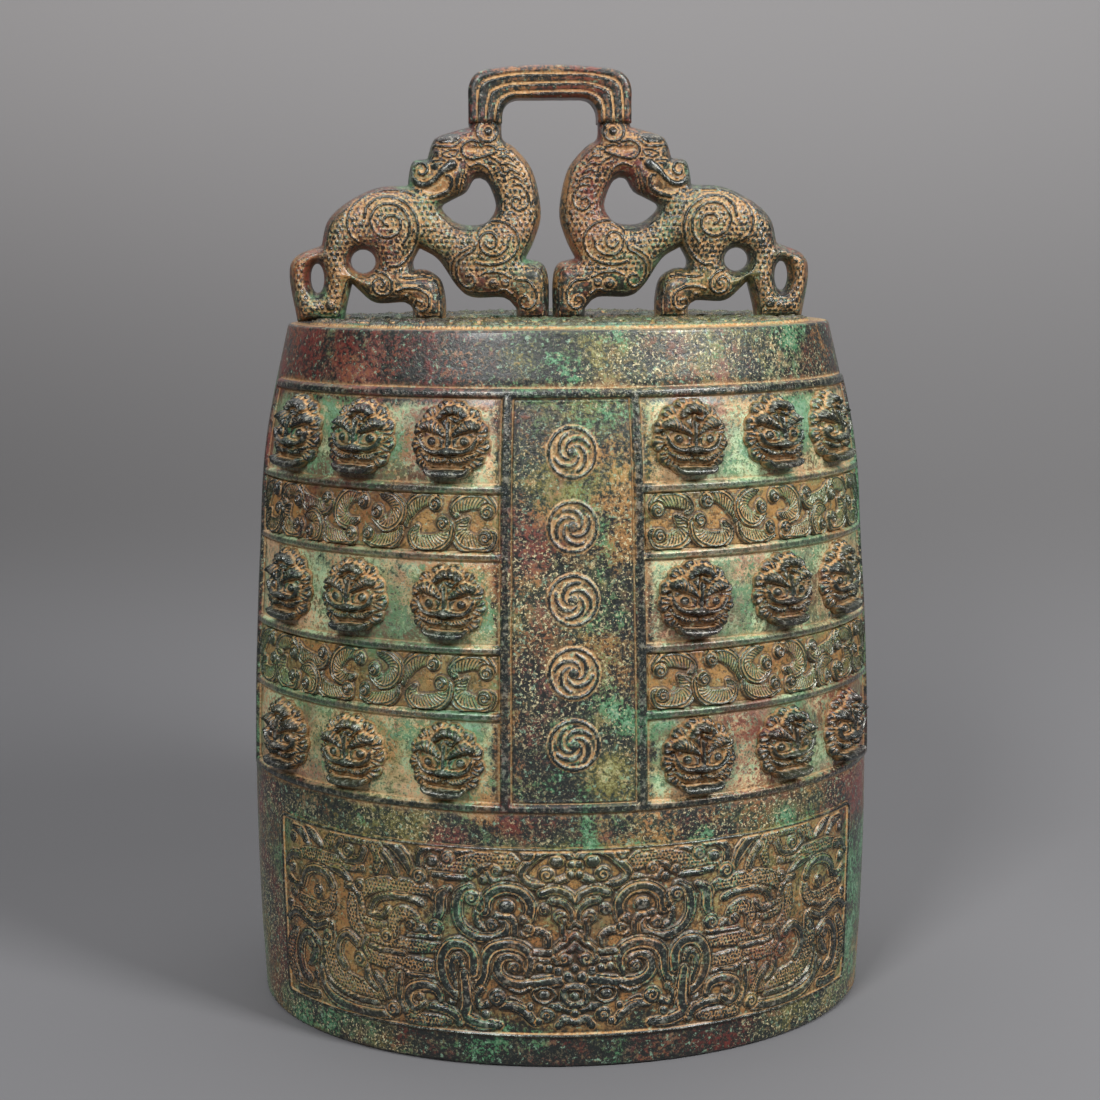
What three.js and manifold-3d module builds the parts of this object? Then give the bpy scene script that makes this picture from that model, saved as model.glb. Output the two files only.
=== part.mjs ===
// A bronze zhong bell of the bo kind: an oval, barrel-shaped shell with a flat mouth and a flat crown plate.
// Each face carries two fields of lion-mask bosses and scroll bands in a raised frame, a centre panel
// between them and one wide relief panel below. Two dragons on the crown carry a square hanging arch.
// Millimetres, +Z up. The origin is the middle of the mouth, and the front face looks along -Y.
import * as THREE from 'three';
import { mergeVertices } from 'three/addons/utils/BufferGeometryUtils.js';
import Module from 'manifold-3d';

const wasm = await Module();
wasm.setup();

// The shell
const halfWidth = 152;            // half of the widest girth, from side to side
const depthShare = 0.78;          // front-to-back half over side-to-side half
const wall = 6;
const crown = 8;                  // thickness of the flat top
const bodySides = 60;
const seatGap = 0.3;              // clearance under every piece that is set on the shell
const cutOverrun = 2;

// The bands of the face, counted up from the mouth
const mouthBand = 14;
const lowerPanelHeight = 90;
const lowerPlainBand = 15.4;
const ribWidth = 3.9;
const bossWidth = 34;
const bossRowMargin = 1.55;       // plain ground above and below a boss
const bossRow = bossWidth + 2 * bossRowMargin;
const scrollBand = 25.5;
const crownBand = 24.9;

// The girths of the face, measured round the shell from the middle of the face
const centrePanelGirth = 28;
const centreRibWidth = 5;
const centreRibGirth = centrePanelGirth + centreRibWidth;
const outerRibWidth = 4.5;
const flankGirth = 34.76;         // half of the plain strip between the fields of the two faces
const outerRibGirth = halfWidth * Math.PI / 2 - flankGirth - outerRibWidth;
const lowerPanelGirth = 166;
const bossPlaceShares = [0.147, 0.45, 0.754];  // along a field, outwards

// What stands out from the shell
const ribHeight = 2.2;
const ribRoot = 1.5;
const scrollBandHeight = 1.4;
const lowerPanelThickness = 0.8;
const coilHeight = 1.2;           // the main coils of the lower panel's beasts
const coilWidth = 5.6;
const coilTopWidth = 3.8;
const coilRoot = 0.4;             // how deep a coil runs into the panel's plate
const centrePanelThickness = 0.8;
const pieceMargin = 0.4;          // side clearance between a set-in piece and the rib beside it
const bossHeight = 9.5;
const crownReliefMargin = 9;
const crownReliefThickness = 0.9;
const curlHeight = 1.9;           // the crown relief's curls, as low cones in rows
const curlWidth = 11;
const curlPitch = 13;
const curlRowPitch = 11;
const curlRoot = 0.5;

// The handle
const handleShift = -4;           // the handle stands a little left of the middle, as cast
const dragonReach = 125;          // from the middle of the handle to the tail
const dragonHeight = 94.5;
const dragonThickness = 26;
const dragonEdge = 4;             // rounding of the dragon's outline
const haunchBulge = 3;
const headSeatShares = [0.183, 0.306];  // the flat of a dragon's head that carries the arch
const archOverhang = 0.25;
const archHalfWidth = headSeatShares[1] * dragonReach + archOverhang;
const archLegWidth = (headSeatShares[1] - headSeatShares[0]) * dragonReach + 2 * archOverhang;
const archHeight = 24.9;
const archBar = 15.2;
const archBow = 1.8;              // how far the bar rises to its middle
const archCorner = 10;
const archInnerCorner = 9;
const archThickness = 22;
const archEdge = 3;

// The barrel: share of the body's height, share of its half width
const swellShares = [
  [0, 0.985], [1 / 6, 0.998], [1 / 3, 1], [1 / 2, 0.99], [2 / 3, 0.967], [5 / 6, 0.937], [1, 0.856],
];
const wallSteps = 12;
const cavitySteps = 6;

// The levels of the ribs, from the mouth to the crown
const levels = [mouthBand + lowerPanelHeight + lowerPlainBand];
for (const space of [bossRow, scrollBand, bossRow, scrollBand, bossRow]) {
  levels.push(levels.at(-1) + ribWidth + space);
}
const bodyHeight = levels.at(-1) + ribWidth + crownBand;

const bronze = {
  shell: { color: 0x3f4a3c, roughness: 0.62, metalness: 0.55 },
  relief: { color: 0x5a543a, roughness: 0.7, metalness: 0.45 },
  boss: { color: 0x3c4136, roughness: 0.55, metalness: 0.6 },
  handle: { color: 0x57493a, roughness: 0.58, metalness: 0.55 },
};

function closed(geometry) {
  geometry.deleteAttribute('normal');
  geometry.deleteAttribute('uv');
  return mergeVertices(geometry, 1e-4);
}

function solid(geometry) {
  const shape = closed(geometry);
  return new wasm.Manifold(new wasm.Mesh({
    numProp: 3,
    vertProperties: new Float32Array(shape.attributes.position.array),
    triVerts: new Uint32Array(shape.index.array),
  }));
}

function geometryOf(manifold) {
  const mesh = manifold.getMesh();
  const geometry = new THREE.BufferGeometry();
  geometry.setAttribute('position', new THREE.BufferAttribute(mesh.vertProperties, 3));
  geometry.setIndex(new THREE.BufferAttribute(mesh.triVerts, 1));
  return geometry;
}

function named(name, geometry, finish) {
  const mesh = new THREE.Mesh(geometry, new THREE.MeshStandardMaterial(finish));
  mesh.name = name;
  return mesh;
}

// Moves each vertex of a geometry by a rule on its own position
function reshape(geometry, rule) {
  const place = geometry.attributes.position;
  const point = new THREE.Vector3();
  for (let i = 0; i < place.count; i += 1) {
    rule(point.fromBufferAttribute(place, i));
    place.setXYZ(i, point.x, point.y, point.z);
  }
  return geometry;
}

// The shell's side: x is the height and y the half width
const swell = new THREE.SplineCurve(
  swellShares.map(([up, out]) => new THREE.Vector2(up * bodyHeight, out * halfWidth)),
);
const wallPoints = swell.getPoints(wallSteps);

function halfWidthAt(z) {
  const after = wallPoints.findIndex((point) => point.x >= z);
  const high = wallPoints[Math.max(after, 1)];
  const low = wallPoints[Math.max(after, 1) - 1];
  return THREE.MathUtils.mapLinear(z, low.x, high.x, low.y, high.y);
}

// A point of the front face: angle round from the middle, height, and distance out from the wall
function onWall(angle, z, lift, point) {
  const a = halfWidthAt(z);
  const across = Math.sin(angle) * depthShare;
  const ahead = Math.cos(angle);
  const length = Math.hypot(across, ahead);
  point.set(
    a * Math.sin(angle) + lift * across / length,
    -a * depthShare * Math.cos(angle) - lift * ahead / length,
    z,
  );
}

function angleOf(girth) {
  return girth / halfWidth;
}

// How far one radian reaches along the wall at a place
function reachAt(angle, z) {
  return halfWidthAt(z) * Math.hypot(Math.cos(angle), depthShare * Math.sin(angle));
}

// A plate bent onto the wall between two girths, two heights and two lifts.
// It bends at the wall's own levels, so that it lies evenly on the wall.
function bentPlate(girths, heights, lifts) {
  const [from, to] = girths.map(angleOf);
  const [low, high] = heights;
  const breaks = wallPoints.map((point) => point.x).filter((z) => z > low && z < high);
  const rows = [low, ...breaks, high];
  const across = Math.ceil((to - from) * bodySides / (2 * Math.PI));
  const box = new THREE.BoxGeometry(1, 1, 1, across, 1, rows.length - 1);
  return reshape(box, (point) => {
    const angle = THREE.MathUtils.lerp(from, to, Math.round((point.x + 0.5) * across) / across);
    const z = rows[Math.round((point.z + 0.5) * (rows.length - 1))];
    const lift = THREE.MathUtils.mapLinear(point.y, -0.5, 0.5, lifts[1], lifts[0]);
    onWall(angle, z, lift, point);
  });
}

// A turned barrel drawn in to the shell's oval; inset is how far it lies inside the shell's outer side
function ovalBarrel(profile, inset) {
  const turned = new THREE.LatheGeometry(profile, bodySides).rotateX(Math.PI / 2);
  return reshape(turned, (point) => {
    const radius = Math.hypot(point.x, point.y);
    if (radius > 0) point.y *= (depthShare * (radius + inset) - inset) / radius;
  });
}

function barrelProfile(points, inset, low, high) {
  const side = points.map((point) => new THREE.Vector2(point.y - inset, point.x));
  side[0].y = low;
  side.at(-1).y = high;
  return [new THREE.Vector2(0, low), ...side, new THREE.Vector2(0, high)];
}

// Ribs of one face: long ones at the top and bottom, and short ones that end inside the fields' posts
function ribs() {
  const lifts = [-ribRoot, ribHeight];
  const outer = outerRibGirth + outerRibWidth;
  const shortRib = [(centrePanelGirth + centreRibGirth) / 2, outerRibGirth + outerRibWidth / 2];
  const parts = [];
  levels.forEach((level, i) => {
    const heights = [level, level + ribWidth];
    const long = i === 0 || i === levels.length - 1;
    const spans = long ? [[-outer, outer]] : [shortRib, shortRib.map((girth) => -girth).reverse()];
    for (const span of spans) parts.push(bentPlate(span, heights, lifts));
  });
  const posts = [levels[0] + ribWidth / 2, levels.at(-1) + ribWidth / 2];
  for (const [from, to] of [[centrePanelGirth, centreRibGirth], [outerRibGirth, outer]]) {
    parts.push(bentPlate([from, to], posts, lifts));
    parts.push(bentPlate([-to, -from], posts, lifts));
  }
  return parts;
}

function shell() {
  const outside = solid(ovalBarrel(barrelProfile(wallPoints, 0, 0, bodyHeight), 0));
  const inside = swell.getPoints(cavitySteps);
  const cavity = solid(ovalBarrel(barrelProfile(inside, wall, -cutOverrun, bodyHeight - crown), wall));
  let body = outside;
  for (const part of ribs()) {
    const front = solid(part);
    body = body.add(front).add(front.rotate([0, 0, 180]));
  }
  return geometryOf(body.subtract(cavity));
}

// A lion mask as a low dome: a scalloped mane, a brow, a nose and a jaw that stands out
const bossSides = 12;
const bossProfileShares = [[0, 0], [0.5, 0], [1, 0], [1, 0.22], [0.76, 0.5], [0.42, 0.8], [0, 0.9]];
const maneScallopShare = 0.03;
const jawShare = 0.35;
const browShare = 0.12;

function boss(girth, z) {
  const radius = bossWidth / 2;
  const profile = bossProfileShares.map(([out, up]) => new THREE.Vector2(out * radius, up * bossHeight));
  const dome = new THREE.LatheGeometry(profile, bossSides).rotateX(Math.PI);
  const middle = angleOf(girth);
  const reach = reachAt(middle, z);
  return reshape(dome, (point) => {
    const turn = Math.atan2(point.x, -point.z);
    const out = Math.hypot(point.x, point.z) / radius;
    const ring = 4 * out * (1 - out);
    const jaw = point.y < 0 ? ring * jawShare * Math.max(0, Math.cos(turn)) ** 3 : 0;
    const brow = point.y < 0 ? ring * browShare * Math.max(0, -Math.cos(turn)) : 0;
    const scallop = 1 + maneScallopShare * Math.cos(turn * bossSides / 2);
    const lift = seatGap + Math.min(bossHeight, -point.y + (jaw + brow) * bossHeight);
    onWall(middle + point.x * scallop / reach, z + point.z * scallop, lift, point);
  });
}

// One face of the bell, in the front face's place
function face(place) {
  const group = new THREE.Group();
  const rowNames = ['bottom', 'middle', 'top'];
  const bandNames = ['lower', 'upper'];
  for (const [side, sign] of [['left', -1], ['right', 1]]) {
    rowNames.forEach((row, i) => {
      const z = levels[2 * i] + ribWidth + bossRow / 2;
      bossPlaceShares.forEach((share, column) => {
        const girth = sign * THREE.MathUtils.lerp(centreRibGirth, outerRibGirth, share);
        group.add(named(`boss_${place}_${side}_${row}_${column + 1}`, closed(boss(girth, z)), bronze.boss));
      });
    });
    bandNames.forEach((band, i) => {
      const low = levels[2 * i + 1] + ribWidth + pieceMargin;
      const high = levels[2 * i + 2] - pieceMargin;
      const ends = [centreRibGirth + pieceMargin, outerRibGirth - pieceMargin];
      const girths = sign > 0 ? ends : [-ends[1], -ends[0]];
      const strip = bentPlate(girths, [low, high], [seatGap, seatGap + scrollBandHeight]);
      group.add(named(`scroll_band_${place}_${side}_${band}`, closed(strip), bronze.relief));
    });
  }
  const centre = bentPlate(
    [pieceMargin - centrePanelGirth, centrePanelGirth - pieceMargin],
    [levels[0] + ribWidth + pieceMargin, levels.at(-1) - pieceMargin],
    [seatGap, seatGap + centrePanelThickness],
  );
  group.add(named(`centre_panel_${place}`, closed(centre), bronze.relief));
  group.add(named(`relief_panel_${place}`, geometryOf(reliefPanel()), bronze.relief));
  group.add(named(`crown_relief_${place}`, geometryOf(crownRelief()), bronze.relief));
  return group;
}

// The main coils of the lower panel's right half: girths as shares of the panel's half girth,
// and heights as shares of its height
const coilShares = [
  // beasts along the top edge
  [[0.03, 0.93], [0.09, 0.975], [0.14, 0.87], [0.09, 0.8]],
  [[0.18, 0.9], [0.27, 0.91], [0.36, 0.86]],
  [[0.57, 0.84], [0.59, 0.95], [0.68, 0.955], [0.75, 0.86]],
  [[0.84, 0.82], [0.93, 0.83]],
  // coils round the shoulders
  [[0.13, 0.66], [0.16, 0.77], [0.24, 0.69]],
  [[0.32, 0.72], [0.3, 0.57], [0.2, 0.55]],
  [[0.4, 0.71], [0.49, 0.76], [0.59, 0.73], [0.62, 0.6], [0.56, 0.54]],
  [[0.73, 0.66], [0.79, 0.55], [0.88, 0.57]],
  // bodies across the middle
  [[0.38, 0.46], [0.59, 0.46]],
  [[0.12, 0.42], [0.18, 0.5], [0.24, 0.43], [0.27, 0.27]],
  [[0.28, 0.36], [0.33, 0.49], [0.37, 0.34]],
  [[0.02, 0.31], [0.14, 0.29], [0.2, 0.36]],
  // bodies along the lower edge
  [[0.53, 0.26], [0.6, 0.175], [0.7, 0.21], [0.75, 0.34], [0.75, 0.46]],
  [[0.82, 0.37], [0.89, 0.33], [0.88, 0.15]],
  [[0.37, 0.19], [0.43, 0.25], [0.47, 0.16]],
  [[0.3, 0.26], [0.3, 0.11], [0.21, 0.07]],
  [[0.54, 0.06], [0.66, 0.055], [0.77, 0.1]],
];
const coilSpan = 13;              // length of one straight step along a coil

// A coil of the panel's beasts: a ribbon with slanted sides along a smooth path on the wall
function coil(row, sign) {
  const path = new THREE.SplineCurve(row.map(([out, up]) => (
    new THREE.Vector2(sign * out * lowerPanelGirth, mouthBand + up * lowerPanelHeight)
  )));
  const steps = Math.round(path.getLength() / coilSpan);
  const top = seatGap + lowerPanelThickness;
  const box = new THREE.BoxGeometry(1, 1, 1, steps, 1, 1);
  return reshape(box, (point) => {
    const share = Math.round((point.x + 0.5) * steps) / steps;
    const place = path.getPoint(share);
    const ahead = path.getTangent(share);
    const outer = point.y < 0;
    const half = Math.sign(point.z) * (outer ? coilTopWidth : coilWidth) / 2;
    const girth = place.x - ahead.y * half;
    onWall(angleOf(girth), place.y + ahead.x * half, outer ? top + coilHeight : top - coilRoot, point);
  });
}

function reliefPanel() {
  let panel = solid(bentPlate(
    [-lowerPanelGirth, lowerPanelGirth],
    [mouthBand, mouthBand + lowerPanelHeight],
    [seatGap, seatGap + lowerPanelThickness],
  ));
  for (const row of coilShares) panel = panel.add(solid(coil(row, 1))).add(solid(coil(row, -1)));
  return panel;
}

// Half of the crown's relief: rows of curls on an oval segment in front of the dragons
const curlSides = 6;

function crownRelief() {
  const a = halfWidthAt(bodyHeight) - crownReliefMargin;
  const b = halfWidthAt(bodyHeight) * depthShare - crownReliefMargin;
  const near = dragonThickness / 2 + 2 * pieceMargin;
  const tilt = Math.asin(near / b);
  const outline = new THREE.Shape();
  outline.absellipse(0, 0, a, b, Math.PI + tilt, 2 * Math.PI - tilt, false, 0);
  const plate = new THREE.ExtrudeGeometry(outline, {
    depth: crownReliefThickness, bevelEnabled: false, curveSegments: bodySides / 3,
  });
  let relief = solid(plate);
  const middle = crownReliefThickness + (curlHeight - curlRoot) / 2;
  const rows = Math.floor((b - near - curlWidth) / curlRowPitch) + 1;
  for (let row = 0; row < rows; row += 1) {
    const y = near + curlWidth / 2 + row * curlRowPitch;
    const reach = a * Math.sqrt(1 - ((y + curlWidth / 3) / b) ** 2) - curlWidth / 2;
    const count = Math.floor(2 * reach / curlPitch) + 1;
    for (let i = 0; i < count; i += 1) {
      const curl = new THREE.ConeGeometry(curlWidth / 2, curlHeight + curlRoot, curlSides);
      curl.rotateX(Math.PI / 2).translate((i - (count - 1) / 2) * curlPitch, -y, middle);
      relief = relief.add(solid(curl));
    }
  }
  return relief.translate([0, 0, bodyHeight + seatGap]);
}

// The right dragon's outline: x as shares of its reach, y as shares of its height.
// Each row is one smooth stretch, and the next row goes on from where it ends.
const dragonStartShares = [0.974, 0];
const dragonStretchShares = [
  // tail
  [[1, 0.23], [0.974, 0.328], [0.875, 0.384]],
  // back
  [[0.849, 0.504], [0.776, 0.594], [0.662, 0.667], [0.542, 0.679]],
  // curled snout
  [[0.537, 0.737], [0.52, 0.799], [0.466, 0.811]],
  // forehead
  [[0.446, 0.891], [0.416, 0.923], [0.306, 0.965]],
  // top of the head, under the arch
  [[headSeatShares[1], 1]],
  [[headSeatShares[0], 1]],
  // nape and chest
  [[0.179, 0.905], [0.136, 0.866], [0.066, 0.748], [0.035, 0.547], [0.058, 0.415], [0.096, 0.311]],
  // front foot
  [[0.03, 0.286], [0.008, 0.2], [0.008, 0]],
  [[0.133, 0]],
  [[0.132, 0.06]],
  [[0.179, 0.115], [0.3, 0.119], [0.36, 0.175], [0.43, 0.309], [0.5, 0.366]],
  // belly to hind foot
  [[0.526, 0.3], [0.521, 0.259]],
  [[0.477, 0.259], [0.422, 0.21], [0.403, 0.106], [0.404, 0]],
  [[0.531, 0]],
  [[0.531, 0.063]],
  [[0.56, 0.095], [0.671, 0.094], [0.734, 0.157], [0.76, 0.193]],
  // inside of the tail
  [[0.783, 0.079], [0.794, 0]],
];
const neckHoleShares = [
  [0.287, 0.71], [0.244, 0.7], [0.214, 0.62], [0.21, 0.555], [0.25, 0.49], [0.334, 0.483], [0.385, 0.52],
  [0.413, 0.572], [0.368, 0.61], [0.319, 0.645],
];
const tailHoleShares = { x: 0.893, y: 0.219, across: 0.025, up: 0.073 };
const thighHoleShares = { x: 0.717, y: 0.303, across: 0.047, up: 0.058 };
const haunchShares = { x: 0.66, y: 0.47, radius: 0.24 };
const shoulderShares = { x: 0.225, y: 0.36, radius: 0.14 };
const outlineSpan = 6;            // length of one straight step along the outline
const neckHoleSteps = 14;
const ovalHoleSteps = 5;
const muscleSides = 12;
const muscleShares = [[0, -1], [0.6, -0.8], [1, -0.4], [1, 0.4], [0.6, 0.8], [0, 1]];
const edgeInsetShare = 0.6;       // how far an edge's rounding draws the face in

function dragonPoint([across, up]) {
  return new THREE.Vector2(across * dragonReach, up * dragonHeight);
}

function stretchPoints(from, row) {
  const points = [from, ...row.map(dragonPoint)];
  if (points.length === 2) return points.slice(1);
  const curve = new THREE.SplineCurve(points);
  return curve.getPoints(Math.max(2, Math.round(curve.getLength() / outlineSpan))).slice(1);
}

function ovalHole({ x, y, across, up }) {
  const hole = new THREE.Path();
  const [middleX, middleY, halfAcross, halfUp] = [...dragonPoint([x, y]), ...dragonPoint([across, up])];
  hole.absellipse(middleX, middleY, halfAcross, halfUp, 0, 2 * Math.PI, true);
  return new THREE.Path(hole.getPoints(ovalHoleSteps).slice(0, -1));
}

// Extrudes an outline drawn in x and height, rounds its edges and stands it upright about y = 0
function upright(shape, thickness, edge) {
  const block = new THREE.ExtrudeGeometry(shape, {
    depth: thickness - 2 * edge,
    bevelThickness: edge,
    bevelSize: edge * edgeInsetShare,
    bevelOffset: -edge * edgeInsetShare,
    bevelSegments: 2,
    curveSegments: 6,
  });
  return block.translate(0, 0, edge - thickness / 2).rotateX(Math.PI / 2);
}

// A muscle of the dragon: a lens that stands out of both sides
function muscle({ x, y, radius }) {
  const half = dragonThickness / 2 + haunchBulge;
  const width = radius * dragonHeight;
  const profile = muscleShares.map(([out, up]) => new THREE.Vector2(out * width, up * half));
  return new THREE.LatheGeometry(profile, muscleSides).translate(x * dragonReach, 0, y * dragonHeight);
}

function dragon() {
  let from = dragonPoint(dragonStartShares);
  const outline = [from];
  for (const row of dragonStretchShares) {
    outline.push(...stretchPoints(from, row));
    from = outline.at(-1);
  }
  const shape = new THREE.Shape(outline);
  const neck = new THREE.SplineCurve([...neckHoleShares, neckHoleShares[0]].map(dragonPoint));
  shape.holes.push(new THREE.Path(neck.getPoints(neckHoleSteps).slice(0, -1)));
  shape.holes.push(ovalHole(tailHoleShares), ovalHole(thighHoleShares));
  let body = solid(upright(shape, dragonThickness, dragonEdge));
  for (const bulge of [haunchShares, shoulderShares]) body = body.add(solid(muscle(bulge)));
  return body;
}

function arch() {
  const shape = new THREE.Shape();
  const inner = archHalfWidth - archLegWidth;
  const underside = archHeight - archBar;
  const slope = 2 * archBow / (archHalfWidth - archCorner);
  const shoulder = archHeight - archBow - slope * archCorner;
  shape.moveTo(-archHalfWidth, 0);
  shape.lineTo(-inner, 0);
  shape.quadraticCurveTo(-inner, underside, archInnerCorner - inner, underside);
  shape.lineTo(inner - archInnerCorner, underside);
  shape.quadraticCurveTo(inner, underside, inner, 0);
  shape.lineTo(archHalfWidth, 0);
  shape.lineTo(archHalfWidth, shoulder - archCorner);
  shape.quadraticCurveTo(archHalfWidth, shoulder, archHalfWidth - archCorner, archHeight - archBow);
  shape.quadraticCurveTo(0, archHeight + archBow, archCorner - archHalfWidth, archHeight - archBow);
  shape.quadraticCurveTo(-archHalfWidth, shoulder, -archHalfWidth, shoulder - archCorner);
  return upright(shape, archThickness, archEdge);
}

function handle() {
  const group = new THREE.Group();
  const right = dragon();
  group.add(named('dragon_right', geometryOf(right), bronze.handle));
  group.add(named('dragon_left', geometryOf(right.mirror([1, 0, 0])), bronze.handle));
  const bow = named('handle_arch', closed(arch()), bronze.handle);
  bow.position.z = dragonHeight + seatGap;
  group.add(bow);
  group.position.set(handleShift, 0, bodyHeight + seatGap);
  return group;
}

const bell = new THREE.Group();
bell.add(named('bell_body', shell(), bronze.shell));
bell.add(face('front'));
const rear = face('rear');
rear.rotation.z = Math.PI;
bell.add(rear);
bell.add(handle());

export default bell;
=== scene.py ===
import math

import bpy
import numpy as np
import openvdb
from mathutils import Matrix, Vector


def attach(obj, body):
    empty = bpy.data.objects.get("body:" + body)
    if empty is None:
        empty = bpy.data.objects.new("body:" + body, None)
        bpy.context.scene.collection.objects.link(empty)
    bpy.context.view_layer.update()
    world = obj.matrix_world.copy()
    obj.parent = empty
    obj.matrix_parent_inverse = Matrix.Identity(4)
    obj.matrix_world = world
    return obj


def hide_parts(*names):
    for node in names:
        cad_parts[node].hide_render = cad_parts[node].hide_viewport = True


# The looks of a bronze zhong bell: a cast shell with ribs, lion-mask bosses, feathered scroll bands,
# a relief panel on each face, and a handle of two dragons that carry a square arch.
# The reliefs are carved in millimetres and turned into metres where a mesh is made.
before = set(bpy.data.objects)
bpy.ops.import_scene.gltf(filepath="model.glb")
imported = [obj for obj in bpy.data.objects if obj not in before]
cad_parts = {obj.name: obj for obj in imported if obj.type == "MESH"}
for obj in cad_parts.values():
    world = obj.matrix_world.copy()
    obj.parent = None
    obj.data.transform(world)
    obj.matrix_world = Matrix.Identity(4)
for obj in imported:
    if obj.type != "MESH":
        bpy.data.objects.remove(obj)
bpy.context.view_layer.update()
bpy.ops.object.select_all(action="DESELECT")
scene = bpy.context.scene
MM = 0.001

# The shell
HALF_WIDTH = 152.0
DEPTH_SHARE = 0.78
WALL = 6.0
CROWN = 8.0
SWELL_SHARES = [(0, 0.985), (1 / 6, 0.998), (1 / 3, 1), (1 / 2, 0.99), (2 / 3, 0.967),
                (5 / 6, 0.937), (1, 0.856)]

# The bands of the face, counted up from the mouth
MOUTH_BAND = 14.0
LOWER_PANEL = 90.0
LOWER_PLAIN_BAND = 15.4
RIB_WIDTH = 3.9
BOSS_ROW = 37.1
SCROLL_BAND = 25.5
CROWN_BAND = 24.9

# The girths of the face, measured round the shell from the middle of the face
CENTRE_PANEL_GIRTH = 28.0
CENTRE_RIB_GIRTH = 33.0
OUTER_RIB_GIRTH = 199.5
OUTER_RIB_WIDTH = 4.5
LOWER_PANEL_GIRTH = 166.0
BOSS_PLACE_SHARES = (0.147, 0.45, 0.754)

# How far a plate's ground stands out of the wall, and how uneven its casting is
BAND_LIFT, BAND_WEAR = 0.12, 0.12
PANEL_LIFT, PANEL_WEAR = 0.15, 0.18
CENTRE_LIFT, CENTRE_WEAR = 0.1, 0.2
DRAGON_WEAR = 0.2

# What stands out of the shell
RIB_HEIGHT = 1.75
RIB_ROUNDING = 1.3
RIB_OVERLAP = 1.0             # how far level ribs run into the upright ones
RIB_FOOT_DEPTH = 0.34         # the fine groove that follows a rib's foot
RIB_FOOT_AWAY = 0.55
RIB_FOOT_WIDTH = 0.42
BURIED = 0.5                  # how deep a relief's edge runs into the wall behind it
PIECE_MARGIN = 0.4
BOSS_REACH = 18.5             # half of the square that a lion mask is carved in
CROWN_MARGIN = 9.0
CURL_WIDTH = 11.0
CURL_PITCH = 13.0
CURL_ROW_PITCH = 11.0

# The handle
HANDLE_SHIFT = -4.0
HANDLE_SEAT = 0.3            # the gap that is left under the dragons' feet and under the arch's
DRAGON_REACH = 125.0
DRAGON_HEIGHT = 94.5
DRAGON_HALF_THICKNESS = 12.6
DRAGON_FALL = 3.6            # how far a dragon's sides round off towards its outline
DRAGON_FALL_REACH = 4.2
ARCH_HALF_WIDTH = 38.5
ARCH_LEG = 15.8
ARCH_HEIGHT = 24.9
ARCH_BAR = 15.2
ARCH_BOW = 1.8
ARCH_CORNER = 10.0
ARCH_INNER_CORNER = 9.0
ARCH_HALF_THICKNESS = 10.4

# How finely the reliefs are carved
BAND_STEP = 0.42
PANEL_STEP = 0.56
CENTRE_STEP = 0.62
BOSS_STEP = 0.5
CROWN_STEP = 0.75
HANDLE_STEP = 0.68

# Both faces and both sides: the sign that mirrors a piece, and the word for it in a node's name
FACES = ((1, "front"), (-1, "rear"))
SIDES = ((-1, "left"), (1, "right"))

LEVELS = [MOUTH_BAND + LOWER_PANEL + LOWER_PLAIN_BAND]
for space in (BOSS_ROW, SCROLL_BAND, BOSS_ROW, SCROLL_BAND, BOSS_ROW):
    LEVELS.append(LEVELS[-1] + RIB_WIDTH + space)
BODY_HEIGHT = LEVELS[-1] + RIB_WIDTH + CROWN_BAND


# Numbers, paths and noise

FAR_AWAY = 9.0                # more than any distance that matters


def ease(t):
    """An even rise from 0 to 1 as t goes from 0 to 1."""
    t = np.clip(t, 0, 1)
    return t * t * (3 - 2 * t)


def curve(points, step=0.7, closed=False):
    """A smooth path through given points."""
    p = np.asarray(points, float)
    if len(p) == 2:
        count = max(2, int(np.hypot(*(p[1] - p[0])) / step))
        return p[0] + (p[1] - p[0]) * np.linspace(0, 1, count + 1)[:, None]
    ends = (p[-1:], p[:2]) if closed else (2 * p[:1] - p[1:2], 2 * p[-1:] - p[-2:-1])
    p = np.vstack([ends[0], p, ends[1]])
    out = []
    for a, b, c, d in zip(p[:-3], p[1:-2], p[2:-1], p[3:]):
        count = max(2, int(np.hypot(*(c - b)) / step))
        t = np.linspace(0, 1, count, endpoint=False)[:, None]
        out.append(0.5 * (2 * b + (c - a) * t + (2 * a - 5 * b + 4 * c - d) * t ** 2
                          + (3 * b - a - 3 * c + d) * t ** 3))
    out.append(p[-2:-1])
    return np.vstack(out)


def spiral(centre, inner, outer, turns, start):
    """A spiral that opens from the inner to the outer radius; start is its inner end's bearing in degrees."""
    count = max(4, int(abs(turns) * 30))
    t = np.linspace(0, 1, count + 1)
    bearing = np.radians(start + 360 * turns * t)
    radius = inner + (outer - inner) * t
    return np.stack([centre[0] + radius * np.cos(bearing), centre[1] + radius * np.sin(bearing)], 1)


def follow(X, Z, path):
    """Distance from a path, the side of it and the share of its length, for every point."""
    best = np.full(X.shape, np.inf)
    side, along = np.zeros(X.shape), np.zeros(X.shape)
    legs = path[1:] - path[:-1]
    lengths = np.hypot(legs[:, 0], legs[:, 1]) + 1e-9
    total, done = lengths.sum(), 0.0
    for start, leg, length in zip(path[:-1], legs, lengths):
        dx, dz = X - start[0], Z - start[1]
        t = np.clip((dx * leg[0] + dz * leg[1]) / length ** 2, 0, 1)
        away = np.hypot(dx - t * leg[0], dz - t * leg[1])
        closer = away < best
        best = np.where(closer, away, best)
        side = np.where(closer, np.sign(leg[0] * dz - leg[1] * dx), side)
        along = np.where(closer, (done + t * length) / total, along)
        done += length
    return best, side, along


# Numbers without a common factor, so that the noise shows no pattern
SCATTER_STEPS = (127.1, 311.7, 74.7, 53.3)
SCATTER_SPREAD = 43758.5453


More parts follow.
